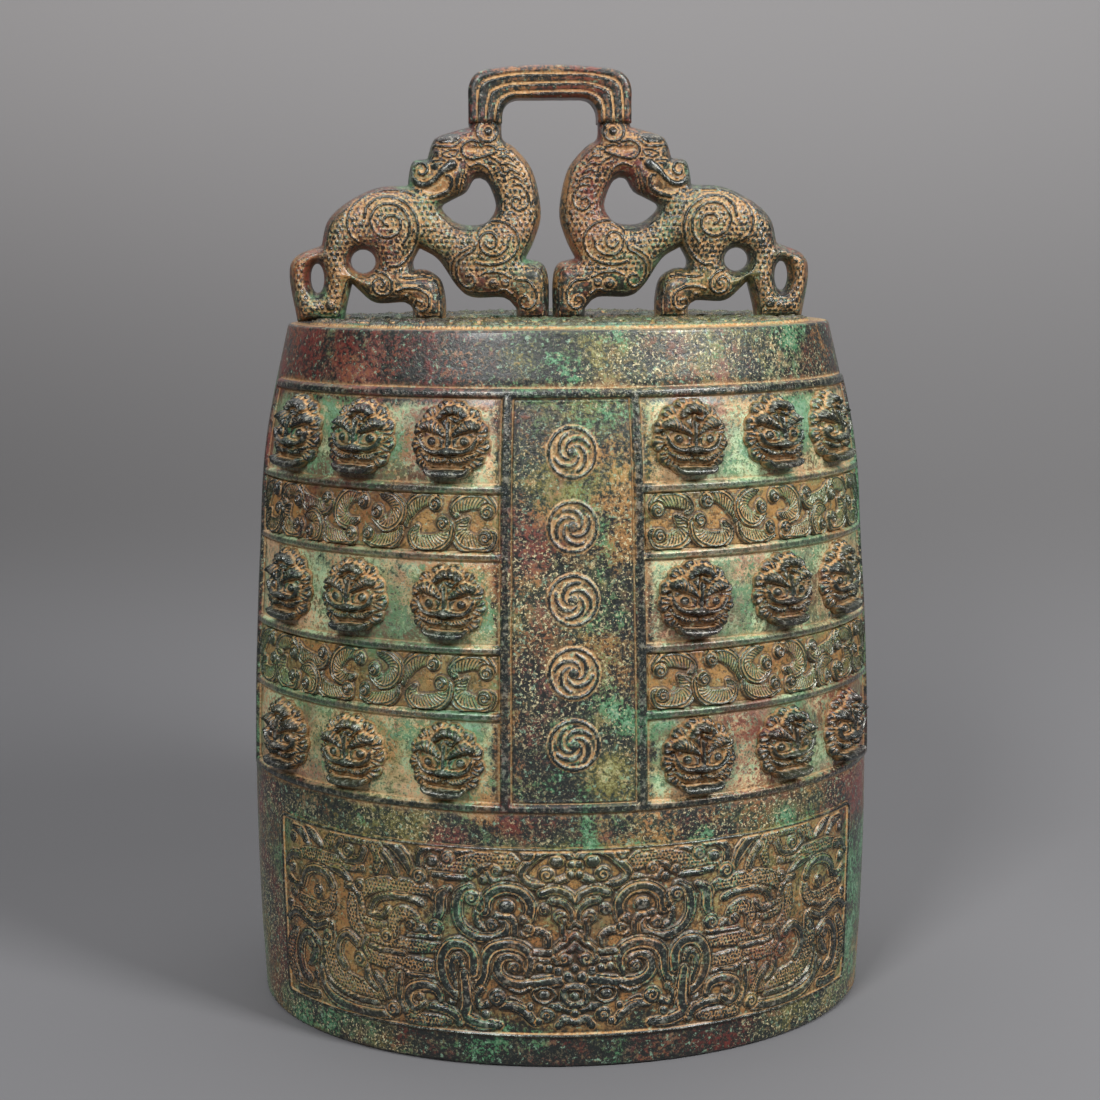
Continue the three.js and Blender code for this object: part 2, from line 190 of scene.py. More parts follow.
def scatter(i, j, k, seed):
    """One fixed number from 0 to 1 for each place of a lattice."""
    a, b, c, d = SCATTER_STEPS
    return np.mod(np.sin(i * a + j * b + k * c + seed * d) * SCATTER_SPREAD, 1)


def waver(x, y, z, size, seed=0):
    """Soft noise from -1 to 1 whose lumps are about one size across."""
    u, v, w = x / size, y / size, z / size
    i, j, k = np.floor(u), np.floor(v), np.floor(w)
    fu, fv, fw = ease(u - i), ease(v - j), ease(w - k)
    total = 0.0
    for a in (0, 1):
        for b in (0, 1):
            for c in (0, 1):
                share = (fu if a else 1 - fu) * (fv if b else 1 - fv) * (fw if c else 1 - fw)
                total = total + share * scatter(i + a, j + b, k + c, seed)
    return 2 * total - 1


GRAIN_GROOVE = 0.55           # how wide the groove round a grain is, in pitches


def grains(X, Z, pitch, seed=0):
    """Cast grains: 0 in the grooves between them and 1 in their middles."""
    u, v = X / pitch, Z / pitch
    near, second = np.full(X.shape, FAR_AWAY), np.full(X.shape, FAR_AWAY)
    iu, iv = np.floor(u), np.floor(v)
    for du in (-1, 0, 1):
        for dv in (-1, 0, 1):
            cu, cv = iu + du, iv + dv
            shift = 0.5 * np.mod(cv, 2)
            away = np.hypot(cu + shift + 0.5 * scatter(cu, cv, 1, seed) - 0.25 - u,
                            cv + 0.25 + 0.5 * scatter(cu, cv, 2, seed) - v)
            second = np.where(away < near, near, np.minimum(second, away))
            near = np.minimum(near, away)
    return ease((second - near) / GRAIN_GROOVE)


def blur(H, sigma):
    """A soft mean over the neighbours; sigma counts points of the grid."""
    reach = int(3 * sigma) + 1
    weights = np.exp(-0.5 * (np.arange(-reach, reach + 1) / sigma) ** 2)
    weights /= weights.sum()
    P = np.pad(H, ((reach, reach), (0, 0)), mode="edge")
    P = sum(w * P[i:i + H.shape[0]] for i, w in enumerate(weights))
    P = np.pad(P, ((0, 0), (reach, reach)), mode="edge")
    return sum(w * P[:, i:i + H.shape[1]] for i, w in enumerate(weights))


# Cross-sections of a stroke: q runs from 0 in its middle to 1 at its edge

def domed(q, side, along, X, Z):
    return np.sqrt(np.clip(1 - q ** 2, 0, 1))


def blunt(q, side, along, X, Z):
    return np.sqrt(np.clip(1 - q ** 3, 0, 1))


def soft(q, side, along, X, Z):
    return ease((1 - q) / 0.6)


def lined(at=0.6, line=0.17, dip=0.5):
    """A flat band with a raised rim: a thin groove runs along each side."""
    def section(q, side, along, X, Z):
        return ease((1 - q) / 0.16) * (1 - dip * np.exp(-((q - at) / line) ** 2))
    return section


def grained(pitch=1.75, deep=0.5, edge=0.84, line=0.12, seed=0):
    """A band with raised edges and a grained fill."""
    def section(q, side, along, X, Z):
        rim = np.exp(-((q - edge) / line) ** 2)
        fill = 1 - deep + deep * grains(X, Z, pitch, seed)
        return ease((1 - q) / 0.2) * np.maximum(rim, fill * (q < edge))
    return section


def combed(cuts, slant=0.0, deep=0.3, power=2.2):
    """A lock of hair: a rounded band with cuts across it."""
    def section(q, side, along, X, Z):
        cut = 0.5 + 0.5 * np.cos(2 * np.pi * (along * cuts + slant * q * side))
        return np.clip(1 - q ** power, 0, 1) ** 0.5 * (1 - deep + deep * ease(cut * 1.3))
    return section


def feathered(cuts, flip):
    """A feather: two raised rims along its outer side and fine slanted barbs on its inner side."""
    def section(q, side, along, X, Z):
        across = np.where(side * flip < 0, q, -q)
        rims = sum(np.exp(-((across - at) / 0.12) ** 2) for at in (0.82, 0.42))
        barbs = ease(0.5 + 0.7 * np.cos(2 * np.pi * (along * cuts + 1.6 * across)))
        top = np.where(across > 0.25, rims, 0.2 + 0.5 * barbs)
        return ease((1 - q) / 0.14) * (0.5 + 0.5 * top) * (1 - 0.2 * ease(-across * 1.2))
    return section


# A volute is a knob with a spiral cut: shares of its radius and height, and the spiral's turns
VOLUTE_START_SHARE, VOLUTE_END_SHARE = 0.08, 0.78
VOLUTE_CUT_SHARE, VOLUTE_DEPTH_SHARE = 0.22, 0.42
VOLUTE_TURNS = 1.35

# The patina's marks: how far round it each mean reaches, and how high a form is that counts in full
CREVICE_REACH = 0.75
HOLLOW_REACH = 5.0
FULL_LEVEL = 0.9
SUNK_WEIGHTS = (2.2, 0.3)     # of the near mean and of the one three times as wide
RAISED_WEIGHTS = (1.9, 0.4)


class Relief:
    """A height over a flat patch, in millimetres; X runs across and Z up."""

    def __init__(self, x0, x1, z0, z1, step):
        self.step = step
        self.x = np.linspace(x0, x1, int(round((x1 - x0) / step)) + 1)
        self.z = np.linspace(z0, z1, int(round((z1 - z0) / step)) + 1)
        self.X, self.Z = np.meshgrid(self.x, self.z)
        self.H = np.zeros(self.X.shape)

    def window(self, path, reach):
        """The part of the patch that lies within reach of a path."""
        low, high = path.min(0) - reach, path.max(0) + reach
        return (slice(*np.searchsorted(self.z, (low[1], high[1]))),
                slice(*np.searchsorted(self.x, (low[0], high[0]))))

    def stroke(self, path, width, height, section, moat=0.7, floor=0.0):
        """Lays a raised stroke down, with a moat beside it in what lies under it."""
        widths = np.atleast_1d(np.asarray(width, float))
        w = self.window(path, widths.max() + moat + 1)
        X, Z, H = self.X[w], self.Z[w], self.H[w]
        if not X.size:
            return
        away, side, along = follow(X, Z, path)
        half = np.interp(along, np.linspace(0, 1, len(widths)), widths) if len(widths) > 1 else widths[0]
        q = away / half
        lift = height * section(q, side, along, X, Z)
        cut = np.minimum(H, floor + (H - floor) * ease((away - half) / moat))
        self.H[w] = np.where(q <= 1, np.maximum(lift, floor), cut)

    def knob(self, centre, radius, height, section, moat=0.7, floor=0.0):
        """Lays a round knob down: a stroke so short that only its round end shows."""
        self.stroke(spiral(centre, 0.05, 0.1, 0.5, 0), radius, height, section, moat, floor)

    def groove(self, path, width, depth):
        """Cuts a rounded groove; width is half of its width."""
        w = self.window(path, width + 1)
        away = follow(self.X[w], self.Z[w], path)[0]
        self.H[w] -= depth * ease(1 - away / width)

    def volute(self, centre, radius, height, start=0, turn=1):
        """A round knob with a spiral cut in it."""
        self.knob(centre, radius, height, blunt)
        inner, outer = radius * VOLUTE_START_SHARE, radius * VOLUTE_END_SHARE
        cut = spiral(centre, inner, outer, VOLUTE_TURNS * turn, start)
        self.groove(cut, radius * VOLUTE_CUT_SHARE, height * VOLUTE_DEPTH_SHARE)

    def share_of_oval(self, centre, across, up, turn=0.0):
        """0 in the middle of an oval and 1 on its edge; turn is in degrees."""
        c, s = math.cos(math.radians(turn)), math.sin(math.radians(turn))
        dx, dz = self.X - centre[0], self.Z - centre[1]
        return np.hypot((c * dx + s * dz) / across, (-s * dx + c * dz) / up)

    def swelling(self, centre, across, up, height, power=2.0, base=0.0, fresh=False):
        """An oval dome on a base; a fresh one replaces what was there."""
        q = self.share_of_oval(centre, across, up)
        lift = base + height * np.clip(1 - q ** power, 0, 1) ** 0.5
        self.H = np.where(q < 1, lift if fresh else np.maximum(self.H, lift), self.H)

    def dent(self, centre, across, up, depth, turn=0.0):
        """Presses an oval hollow in."""
        self.H -= depth * ease(1.3 * (1 - self.share_of_oval(centre, across, up, turn)))

    def age(self, seed, wear=0.1):
        """Uneven casting: soft lumps over the relief."""
        self.H = self.H + wear * waver(self.X, self.Z, 0 * self.X, 9.0, seed) * ease(self.H)

    def shades(self, reach=CREVICE_REACH):
        """Marks for the patina: crevices, crests, and how high a form stands over what is round it."""
        # the patina lays dust and painted shade in the crevices, and wear and painted highlights on the
        # crests
        near = blur(self.H, reach / self.step)
        wide = blur(self.H, 3 * reach / self.step)
        far = blur(self.H, HOLLOW_REACH / self.step)
        sunk = (near - self.H) * SUNK_WEIGHTS[0] + (wide - self.H) * SUNK_WEIGHTS[1]
        raised = (self.H - near) * RAISED_WEIGHTS[0] + (self.H - wide) * RAISED_WEIGHTS[1]
        return {"sunk": np.clip(sunk, 0, 1), "raised": np.clip(raised, 0, 1),
                "level": np.clip((self.H - far) / FULL_LEVEL, -1, 1)}


# The wall of the shell

def sample_swell(steps=240):
    """The shell's side through the swell's points: heights and half widths."""
    p = np.array(SWELL_SHARES) * (BODY_HEIGHT, HALF_WIDTH)
    side = np.vstack([p[:1], p, p[-1:]])
    out = []
    for a, b, c, d in zip(side[:-3], side[1:-2], side[2:-1], side[3:]):
        t = np.linspace(0, 1, steps // (len(p) - 1), endpoint=False)[:, None]
        v0, v1 = (c - a) * 0.5, (d - b) * 0.5
        out.append((2 * b - 2 * c + v0 + v1) * t ** 3 + (-3 * b + 3 * c - 2 * v0 - v1) * t ** 2 + v0 * t + b)
    return np.vstack(out + [p[-1:]])


SWELL = sample_swell()


def half_width_at(z):
    """Half of the shell's width at a height above the mouth."""
    return np.interp(z, SWELL[:, 0], SWELL[:, 1])


def on_wall(girth, z, lift, face=1):
    """Points of the wall by girth, height and distance out; face is 1 in front and -1 behind."""
    angle = girth / HALF_WIDTH
    a = half_width_at(z)
    across, ahead = DEPTH_SHARE * np.sin(angle), np.cos(angle)
    length = np.hypot(across, ahead)
    x = a * np.sin(angle) + lift * across / length
    y = -a * DEPTH_SHARE * np.cos(angle) - lift * ahead / length
    return np.stack([face * x, face * y, z + 0 * angle], -1)


# Meshes

def select_only(piece):
    bpy.ops.object.select_all(action="DESELECT")
    piece.select_set(True)
    bpy.context.view_layer.objects.active = piece


def shade(piece, marks):
    """Keeps the marks of a relief on its mesh, for the patina."""
    for name, values in marks.items():
        layer = piece.data.attributes.new(name, "FLOAT", "POINT")
        layer.data.foreach_set("value", np.ascontiguousarray(values, np.float32).ravel())


WELD = 1e-7                   # metres


def close_up():
    """Welds the active piece's seams, fills what is open and turns its faces outwards."""
    bpy.ops.object.mode_set(mode="EDIT")
    bpy.ops.mesh.select_all(action="SELECT")
    bpy.ops.mesh.remove_doubles(threshold=WELD)
    bpy.ops.mesh.select_all(action="DESELECT")
    bpy.ops.mesh.select_mode(type="EDGE")
    bpy.ops.mesh.select_non_manifold(extend=False, use_wire=False, use_multi_face=False,
                                     use_non_contiguous=False, use_verts=False)
    bpy.ops.mesh.edge_face_add()
    bpy.ops.mesh.select_all(action="SELECT")
    bpy.ops.mesh.normals_make_consistent(inside=False)
    bpy.ops.object.mode_set(mode="OBJECT")


def move_points(piece, points):
    """Moves a mesh's points to places given in millimetres."""
    piece.data.vertices.foreach_set("co", (points * MM).astype(np.float32).ravel())


def add_grid(rows, columns):
    """A flat grid with so many rows and columns of points."""
    bpy.ops.mesh.primitive_grid_add(x_subdivisions=columns - 1, y_subdivisions=rows - 1, size=1)
    return bpy.context.object


def grid_piece(name, points, marks):
    """A grid whose points are moved to rows x columns places; what is open at its ends is filled."""
    piece = add_grid(*points.shape[:2])
    piece.name = piece.data.name = name
    move_points(piece, points)
    shade(piece, marks)
    close_up()
    bpy.ops.object.shade_smooth()
    return piece


def close_round(rows):
    """The rows with the first one again at the end, so that the back is closed."""
    return np.vstack([rows, rows[:1]])


def finish_piece(piece, material, slot, *nodes):
    """Gives a piece its bronze, hangs it on the root and hides the parts of the nodes that it stands for;
    slot is not used.
    """
    piece.data.materials.clear()
    piece.data.materials.append(material)
    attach(piece, "root")
    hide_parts(*nodes)


def bury_border(H):
    """Sinks the border of a relief into the wall behind it."""
    H[0], H[-1], H[:, 0], H[:, -1] = (-BURIED,) * 4


def closed_grid(name, points, relief):
    """A relief as a closed plate: its grid goes over the front and back behind it."""
    marks = {mark: close_round(values) for mark, values in relief.shades().items()}
    return grid_piece(name, close_round(points), marks)


def plate(name, relief, lift, face=1, mirror=1):
    """Lays a relief on the wall as a closed plate whose back and edges run inside the wall."""
    H = relief.H + lift
    bury_border(H)
    return closed_grid(name, on_wall(mirror * relief.X, relief.Z, H, face), relief)


# The shell with its ribs

def spread(start, end, step, fine_step, spans, margin=1.3):
    """Places from start to end, close together over the given spans and wider between them."""
    places, at = [start], start
    while at < end - 1e-6:
        inside = [b + margin for a, b in spans if a - margin - 1e-6 <= at < b + margin - 1e-6]
        ahead = [a - margin for a, b in spans if a - margin > at + 1e-6]
        limit = min(inside + ahead + [end])
        count = max(1, math.ceil((limit - at) / (fine_step if inside else step)))
        places += list(np.linspace(at, limit, count + 1)[1:])
        at = limit
    return np.array(places)


def rib_boxes():
    """Ribs of one face as boxes of girth and height."""
    outer = OUTER_RIB_GIRTH + OUTER_RIB_WIDTH
    boxes = []
    for i, level in enumerate(LEVELS):
        heights = (level, level + RIB_WIDTH)
        if i in (0, len(LEVELS) - 1):
            boxes.append((-outer, outer, *heights))
        else:
            near, far = CENTRE_RIB_GIRTH - RIB_OVERLAP, OUTER_RIB_GIRTH + RIB_OVERLAP
            boxes += [(near, far, *heights), (-far, -near, *heights)]
    for near, far in ((CENTRE_PANEL_GIRTH, CENTRE_RIB_GIRTH), (OUTER_RIB_GIRTH, outer)):
        for from_girth, to_girth in ((near, far), (-far, -near)):
            boxes.append((from_girth, to_girth, LEVELS[0], LEVELS[-1] + RIB_WIDTH))
    return boxes


def rib_relief(girth, z, seed):
    """Rib height and the distance to the nearest rib, over one face."""
    best = np.full(girth.shape, FAR_AWAY)
    drift = 0.22 * waver(girth, z, 0 * z, 24.0, seed)
    for g0, g1, z0, z1 in rib_boxes():
        across = np.maximum(g0 - girth, girth - g1)
        up = np.maximum(z0 - z, z - z1) + drift
        outside = np.hypot(np.maximum(across, 0), np.maximum(up, 0))
        best = np.minimum(best, outside + np.minimum(np.maximum(across, up), 0))
    top = RIB_HEIGHT * np.sqrt(np.clip(1 - (1 - np.clip(-best / RIB_ROUNDING, 0, 1)) ** 2, 0, 1))
    groove = RIB_FOOT_DEPTH * np.exp(-((best - RIB_FOOT_AWAY) / RIB_FOOT_WIDTH) ** 2)
    return top * (1 + 0.07 * waver(girth, z, 0 * z, 11.0, seed + 3)) - groove, best


# The shell's rings, from the inside over the lip to the crown. The vault and the crown have rings at shares
# of their radius. Each row of the lip and of the crown's edge is a height, an inset and a rubbing.
VAULT_SHARES = (0.002, 0.35, 0.7, 0.93)
CROWN_SHARES = (0.94, 0.92, 0.75, 0.55, 0.35, 0.18, 0.002)
DUSTY_RIM_SHARE = 0.92        # dust gathers outside this share
LIP_ROWS = [(1.6, WALL - 0.2, 0.15), (0.35, WALL - 0.9, 0.15), (0, WALL - 2.1, 0.15), (0, 2.0, 0.5),
            (0.35, 0.85, 0.5), (1.5, 0.15, 0.15)]
CROWN_EDGE_ROWS = [(-0.75, 0.3, 0.4), (-0.2, 0.75, 0.5), (0, 1.7, 0.1), (0, 4.5, 0)]
GIRTH_STEPS = (3.4, 0.6)      # between two points of a ring: on the fields and over the ribs
HEIGHT_STEPS = (4.2, 0.5)     # between two rings
OUTSIDE_START, OUTSIDE_END = 3.0, BODY_HEIGHT - 1.6
INSIDE_RINGS = 16
INSIDE_DUST = 0.3
OUTSIDE_INSET = 0.2           # the cast outside lies this far behind the even wall
OUTSIDE_SWING = 0.16          # how uneven the casting is
RIB_DUST, RIB_RUB = 0.75, 0.75
FIELD_EDGE = 6.0


class Rings:
    """The shell's rings of points, each with marks for the patina."""

    def __init__(self, girths):
        self.rear = girths > HALF_WIDTH * math.pi / 2
        self.girths = np.where(self.rear, girths - HALF_WIDTH * math.pi, girths)
        self.places, self.sunk, self.raised = [], [], []

    def ring(self, z, inset=0.0, lift=0.0):
        """One ring of the shell; inset draws it in from the wall, and lift raises ribs on it."""
        place = on_wall(self.girths, np.full(self.girths.shape, min(z, BODY_HEIGHT)), lift - inset)
        place[:, 2] = z
        place[self.rear, :2] *= -1
        return place

    def lay(self, place, sunk=0.0, raised=0.0):
        """Adds a ring to the shell with its marks."""
        self.places.append(place)
        self.sunk.append(np.zeros(len(self.girths)) + sunk)
        self.raised.append(np.zeros(len(self.girths)) + raised)


def shell_girths():
    """Girths all round the shell, close together over its upright ribs."""
    posts = [(CENTRE_PANEL_GIRTH, CENTRE_RIB_GIRTH), (OUTER_RIB_GIRTH, OUTER_RIB_GIRTH + OUTER_RIB_WIDTH)]
    half_face = spread(0, HALF_WIDTH * math.pi / 2, *GIRTH_STEPS, posts)
    face = np.concatenate([-half_face[:0:-1], half_face])
    return np.concatenate([face[:-1], face + HALF_WIDTH * math.pi])


def lay_inside_and_lip(rings):
    """Out over the vault from its middle, down the inside, and round the lip."""
    under_crown = BODY_HEIGHT - CROWN
    for share in VAULT_SHARES:
        rings.lay(rings.ring(under_crown, WALL) * (share, share, 1), INSIDE_DUST)
    for z in np.linspace(under_crown - 6, 4, INSIDE_RINGS):
        rings.lay(rings.ring(z, WALL), INSIDE_DUST)
    for z, inset, rubbed in LIP_ROWS:
        rings.lay(rings.ring(z, inset), 0.0, rubbed)


def lay_outside(rings, heights):
    """Up the outside, with the ribs of both faces."""
    for z in heights:
        level = np.full(rings.girths.shape, float(z))
        ribs_front, away_front = rib_relief(rings.girths, level, 1)
        ribs_rear, away_rear = rib_relief(rings.girths, level, 7)
        away = np.where(rings.rear, away_rear, away_front)
        wall = rings.ring(z)
        lift = np.where(rings.rear, ribs_rear, ribs_front)
        lift = lift + OUTSIDE_SWING * waver(wall[:, 0], wall[:, 1], level, 30.0, 11)
        dust = np.exp(-np.clip(away, 0, FAR_AWAY) / 1.5) * (away > 0)
        rings.lay(rings.ring(z, OUTSIDE_INSET, lift), dust * RIB_DUST, np.clip(-away / 1.4, 0, 1) * RIB_RUB)


def lay_crown(rings):
    """Over the shoulder and across the crown."""
    for below, inset, rubbed in CROWN_EDGE_ROWS:
        rings.lay(rings.ring(BODY_HEIGHT + below, inset), 0.1 if below else 0.5, rubbed)
    for share in CROWN_SHARES:
        rings.lay(rings.ring(BODY_HEIGHT) * (share, share, 1), 0.45 if share > DUSTY_RIM_SHARE else 0.25)


def field_mark(rings, points, inner_rings):
    """1 on the fields that the ribs frame, and 0 elsewhere."""
    away = np.abs(rings.girths)
    inside_frame = np.minimum(away - CENTRE_RIB_GIRTH, OUTER_RIB_GIRTH - away)
    inside_rows = np.minimum(points[..., 2] - LEVELS[0], LEVELS[-1] - points[..., 2])
    outside = np.arange(len(points)) >= inner_rings
    return ease(np.minimum(inside_frame, inside_rows) / FIELD_EDGE) * outside[:, None]


def make_shell():
    rings = Rings(shell_girths())
    lay_inside_and_lip(rings)
    inner_rings = len(rings.places)
    ribs = [(z, z + RIB_WIDTH) for z in LEVELS]
    lay_outside(rings, spread(OUTSIDE_START, OUTSIDE_END, *HEIGHT_STEPS, ribs))
    lay_crown(rings)
    points = np.stack(rings.places)
    marks = {"sunk": np.stack(rings.sunk), "raised": np.stack(rings.raised),
             "field": field_mark(rings, points, inner_rings)}
    finish_piece(grid_piece("bell_shell", points, marks), bronze["shell"], "shell", "bell_body")


# Scroll bands: feathered commas, each with a knob, a tail and its half widths.
# Girths run outwards from a field's inner end and heights up from its foot.
COMMAS = [
    ((5.6, 17.4), [(4.4, 19.0), (7.5, 22.0), (13.0, 22.4), (18.2, 20.6), (20.9, 17.6), (19.3, 15.2)],
     [2.6, 3.0, 3.1, 3.0, 2.4, 0.9], -1),
    ((6.4, 6.2), [(3.6, 6.4), (5.5, 3.6), (11.0, 3.2), (16.4, 4.8), (18.4, 9.6), (14.6, 14.2)],
     [2.4, 2.7, 3.2, 3.6, 3.2, 0.9], 1),
    ((26.6, 12.0), [(24.0, 10.6), (25.4, 5.8), (30.6, 3.0), (37.4, 2.8), (41.0, 6.4), (39.2, 10.4)],
     [2.6, 2.7, 3.2, 3.4, 2.9, 0.9], 1),
    ((30.6, 20.6), [(29.6, 22.4), (36.0, 22.6), (41.4, 19.6), (44.6, 14.6), (45.2, 10.8)],
     [1.8, 2.6, 2.9, 2.4, 0.9], -1),
    ((61.2, 16.0), [(61.4, 13.4), (55.8, 10.8), (50.8, 13.4), (49.2, 18.0), (53.0, 21.8), (58.6, 23.0)],
     [2.0, 2.9, 3.1, 2.9, 2.3, 0.9], -1),
    ((66.2, 6.4), [(66.8, 3.8), (60.4, 2.5), (53.6, 3.4), (49.4, 6.0), (47.6, 9.2)],
     [1.9, 2.5, 2.9, 2.3, 0.9], -1),
    ((69.6, 20.2), [(70.4, 22.4), (77.6, 22.4), (83.0, 18.0), (83.6, 12.6), (78.8, 10.2), (73.2, 11.6)],
     [1.9, 2.8, 3.2, 3.2, 2.5, 0.9], -1),
    ((76.6, 5.6), [(76.4, 3.4), (83.2, 2.6), (90.4, 3.2), (95.0, 7.0), (95.4, 11.2)],
     [2.3, 2.7, 3.1, 2.7, 0.9], 1),
    ((93.4, 19.8), [(91.6, 18.0), (94.6, 15.8), (101.8, 15.0), (108.6, 17.0), (112.6, 21.6)],
     [2.4, 2.7, 3.3, 2.9, 0.9], 1),
    ((105.6, 4.6), [(105.8, 2.6), (100.6, 3.2), (99.2, 7.6), (102.6, 11.4), (109.4, 11.0)],
     [2.2, 2.6, 2.9, 2.6, 0.9], -1),
]
COMMA_REPEAT = 111.0
COMMA_HEIGHT = 2.3
COMMA_WIDTH_SHARE = 1.42
COMMA_KNOB_RADIUS = 3.3
COMMA_KNOB_HEIGHT = 1.35 * COMMA_HEIGHT
BARB_PITCH = 1.7


def carve_band(seed):
    """One scroll band, laid out from a field's inner end."""
    length = OUTER_RIB_GIRTH - CENTRE_RIB_GIRTH - 2 * PIECE_MARGIN
    relief = Relief(0, length, 0, SCROLL_BAND - 2 * PIECE_MARGIN, BAND_STEP)
    for shift in (0.0, COMMA_REPEAT):
        for knob, tail, widths, flip in COMMAS:
            if max(p[0] for p in tail) + shift > length - 1:
                continue
            path = curve([(x + shift, z) for x, z in tail])
            run = np.hypot(*np.diff(path, axis=0).T).sum()
            feather = feathered(run / BARB_PITCH, flip)
            relief.stroke(path, np.array(widths) * COMMA_WIDTH_SHARE, COMMA_HEIGHT, feather, moat=0.8)
            relief.volute((knob[0] + shift, knob[1]), COMMA_KNOB_RADIUS, COMMA_KNOB_HEIGHT, -40, -flip)
    relief.age(seed, BAND_WEAR)
    return relief


def make_bands():
    for face, place in FACES:
        for mirror, side in SIDES:
            for i, band in enumerate(("lower", "upper")):
                relief = carve_band(i + 2 * mirror + 5 * face)
                relief.X = relief.X + CENTRE_RIB_GIRTH + PIECE_MARGIN
                relief.Z = relief.Z + LEVELS[2 * i + 1] + RIB_WIDTH + PIECE_MARGIN
                node = f"scroll_band_{place}_{side}_{band}"
                piece = plate(f"{node}_relief", relief, BAND_LIFT, face, mirror)
                finish_piece(piece, bronze["band"], "relief", node)


# Lion-mask bosses

MANE_HEIGHT = 3.6
TUFT_WIDTHS = [1.3, 3.2, 3.6, 3.2, 1.3]
FACE_BASE = 2.6


def carve_mane(m):
    """Tufts of mane round the mask, and the forelock over it."""
    for bearing in np.radians(np.arange(-34, 215, 27.6)):
        out = np.array([math.cos(bearing), math.sin(bearing)])
        across = np.array([-out[1], out[0]])
        middle, aside, below = out * 13.8, across * 3.8, out * 1.3
        tuft = curve([middle - aside - below, middle + out * 0.5, middle + aside - below])
        m.stroke(tuft, TUFT_WIDTHS, MANE_HEIGHT, combed(5, 0.3, 0.4, 4.0), moat=0.7)
    m.swelling((0, -1.2), 11.9, 12.0, 3.0, power=3, base=FACE_BASE, fresh=True)
    m.swelling((0, 5.5), 8.0, 6.2, 5.2, power=2.5, base=0.4)
    forelock = curve([(-4.8, 10.4), (-1.4, 13.2), (3.6, 13.0), (6.2, 10.4), (3.6, 8.8), (0.8, 10.2)])
    m.stroke(forelock, [1.6, 2.3, 2.5, 2.2, 1.6, 1.1], 7.2, combed(7, 0.5, 0.22), moat=0.8, floor=FACE_BASE)


def carve_cheek(m, side):
    """One side of the mask: the eye in its hollow, the brow, the cheek and the whiskers."""
    def path(points):
        return curve([(side * x, z) for x, z in points])

    m.dent((side * 7.2, 0.2), 5.0, 3.9, 2.6, turn=side * 16)
    m.swelling((side * 7.1, 0.3), 2.3, 2.2, 3.4, base=3.0)
    m.dent((side * 7.1, 0.1), 0.7, 0.7, 0.9)
    m.groove(path([(3.4, -0.8), (5.4, -2.7), (8.6, -2.9), (11.0, -0.6)]), 0.5, 0.6)
    brow = path([(1.9, 2.7), (4.6, 5.0), (8.4, 7.0), (12.0, 6.6)])
    m.stroke(brow, [0.9, 2.4, 3.5, 1.9], 7.6, combed(7, 0.9, 0.2), moat=0.8, floor=2.8)
    cheek = path([(2.8, -4.0), (6.6, -4.3), (10.3, -2.4), (12.3, 1.4)])
    m.stroke(cheek, [1.4, 1.5, 1.4, 0.8], 6.5, domed, moat=0.6, floor=FACE_BASE)
    whiskers = path([(0.6, -7.4), (4.0, -8.3), (8.2, -7.6), (12.0, -5.4)])
    m.stroke(whiskers, [1.0, 1.8, 1.9, 0.8], 6.0, combed(9, 0.9, 0.34), moat=0.6, floor=2.4)


def carve_muzzle(m):
    """The ridge of the nose with its wrinkles, the nostrils, the open mouth and the jaw that stands out."""
    m.stroke(curve([(0, 8.0), (0, 3.4), (0, -1.4)]), [0.8, 1.35, 1.7], 7.6, domed, moat=0.5, floor=3.0)
    for z in (1.4, 0.0, -1.3):
        m.groove(curve([(-1.8, z), (0, z - 0.3), (1.8, z)]), 0.35, 0.5)
    m.swelling((0, -3.8), 4.4, 2.2, 8.6, power=2.6)
    for side in (-1, 1):
        m.swelling((side * 2.8, -4.0), 1.9, 1.7, 8.3)
        m.dent((side * 1.9, -5.3), 0.8, 0.6, 2.0)
    mouth = (np.abs(m.X) < 9.9) & (m.Z < -9.3) & (m.Z > -12.6)
    m.H = np.where(mouth, np.minimum(m.H, 2.4), m.H)
    jaw = [(-9.0, -11.6), (-7.6, -13.1), (-4.0, -13.6), (0, -13.7), (4.0, -13.6), (7.6, -13.1), (9.0, -11.6)]
    m.stroke(curve(jaw), [1.1, 1.9, 2.2, 2.2, 2.2, 1.9, 1.1], 7.8, blunt, moat=0.3)


def carve_mask():
    """A lion mask in the middle of its square."""
    mask = Relief(-BOSS_REACH, BOSS_REACH, -BOSS_REACH, BOSS_REACH, BOSS_STEP)
    carve_mane(mask)
    for side in (-1, 1):
        carve_cheek(mask, side)
    carve_muzzle(mask)
    return mask


def cut_ground_away(model, foot):
    """Deletes the faces whose corners all lie on the ground round the mask."""
    bpy.ops.object.mode_set(mode="EDIT")
    bpy.ops.mesh.select_mode(type="FACE")
    bpy.ops.mesh.select_all(action="DESELECT")
    bpy.ops.object.mode_set(mode="OBJECT")
    corners = np.zeros(len(model.data.loops), np.int32)
    model.data.loops.foreach_get("vertex_index", corners)
    outside = foot.ravel()[corners].reshape(-1, 4).all(1)
    model.data.polygons.foreach_set("select", outside)
    bpy.ops.object.mode_set(mode="EDIT")
    bpy.ops.mesh.delete(type="FACE")
    bpy.ops.object.mode_set(mode="OBJECT")


GROUND_HEIGHT = 0.02          # less than this is ground and not mask


def make_mask_model():
    """The mask's mesh, flat and in millimetres, with its points as an array."""
    mask = carve_mask()
    foot = mask.H < GROUND_HEIGHT
    model = add_grid(len(mask.z), len(mask.x))
    flat = np.stack([mask.X, mask.Z, np.where(foot, -BURIED, mask.H)], -1)
    model.data.vertices.foreach_set("co", flat.astype(np.float32).ravel())
    shade(model, mask.shades(0.9))
    cut_ground_away(model, foot)
    close_up()
    bpy.ops.object.shade_smooth()
    carved = np.zeros(len(model.data.vertices) * 3, np.float32)
    model.data.vertices.foreach_get("co", carved)
    return model, carved.reshape(-1, 3).astype(float)


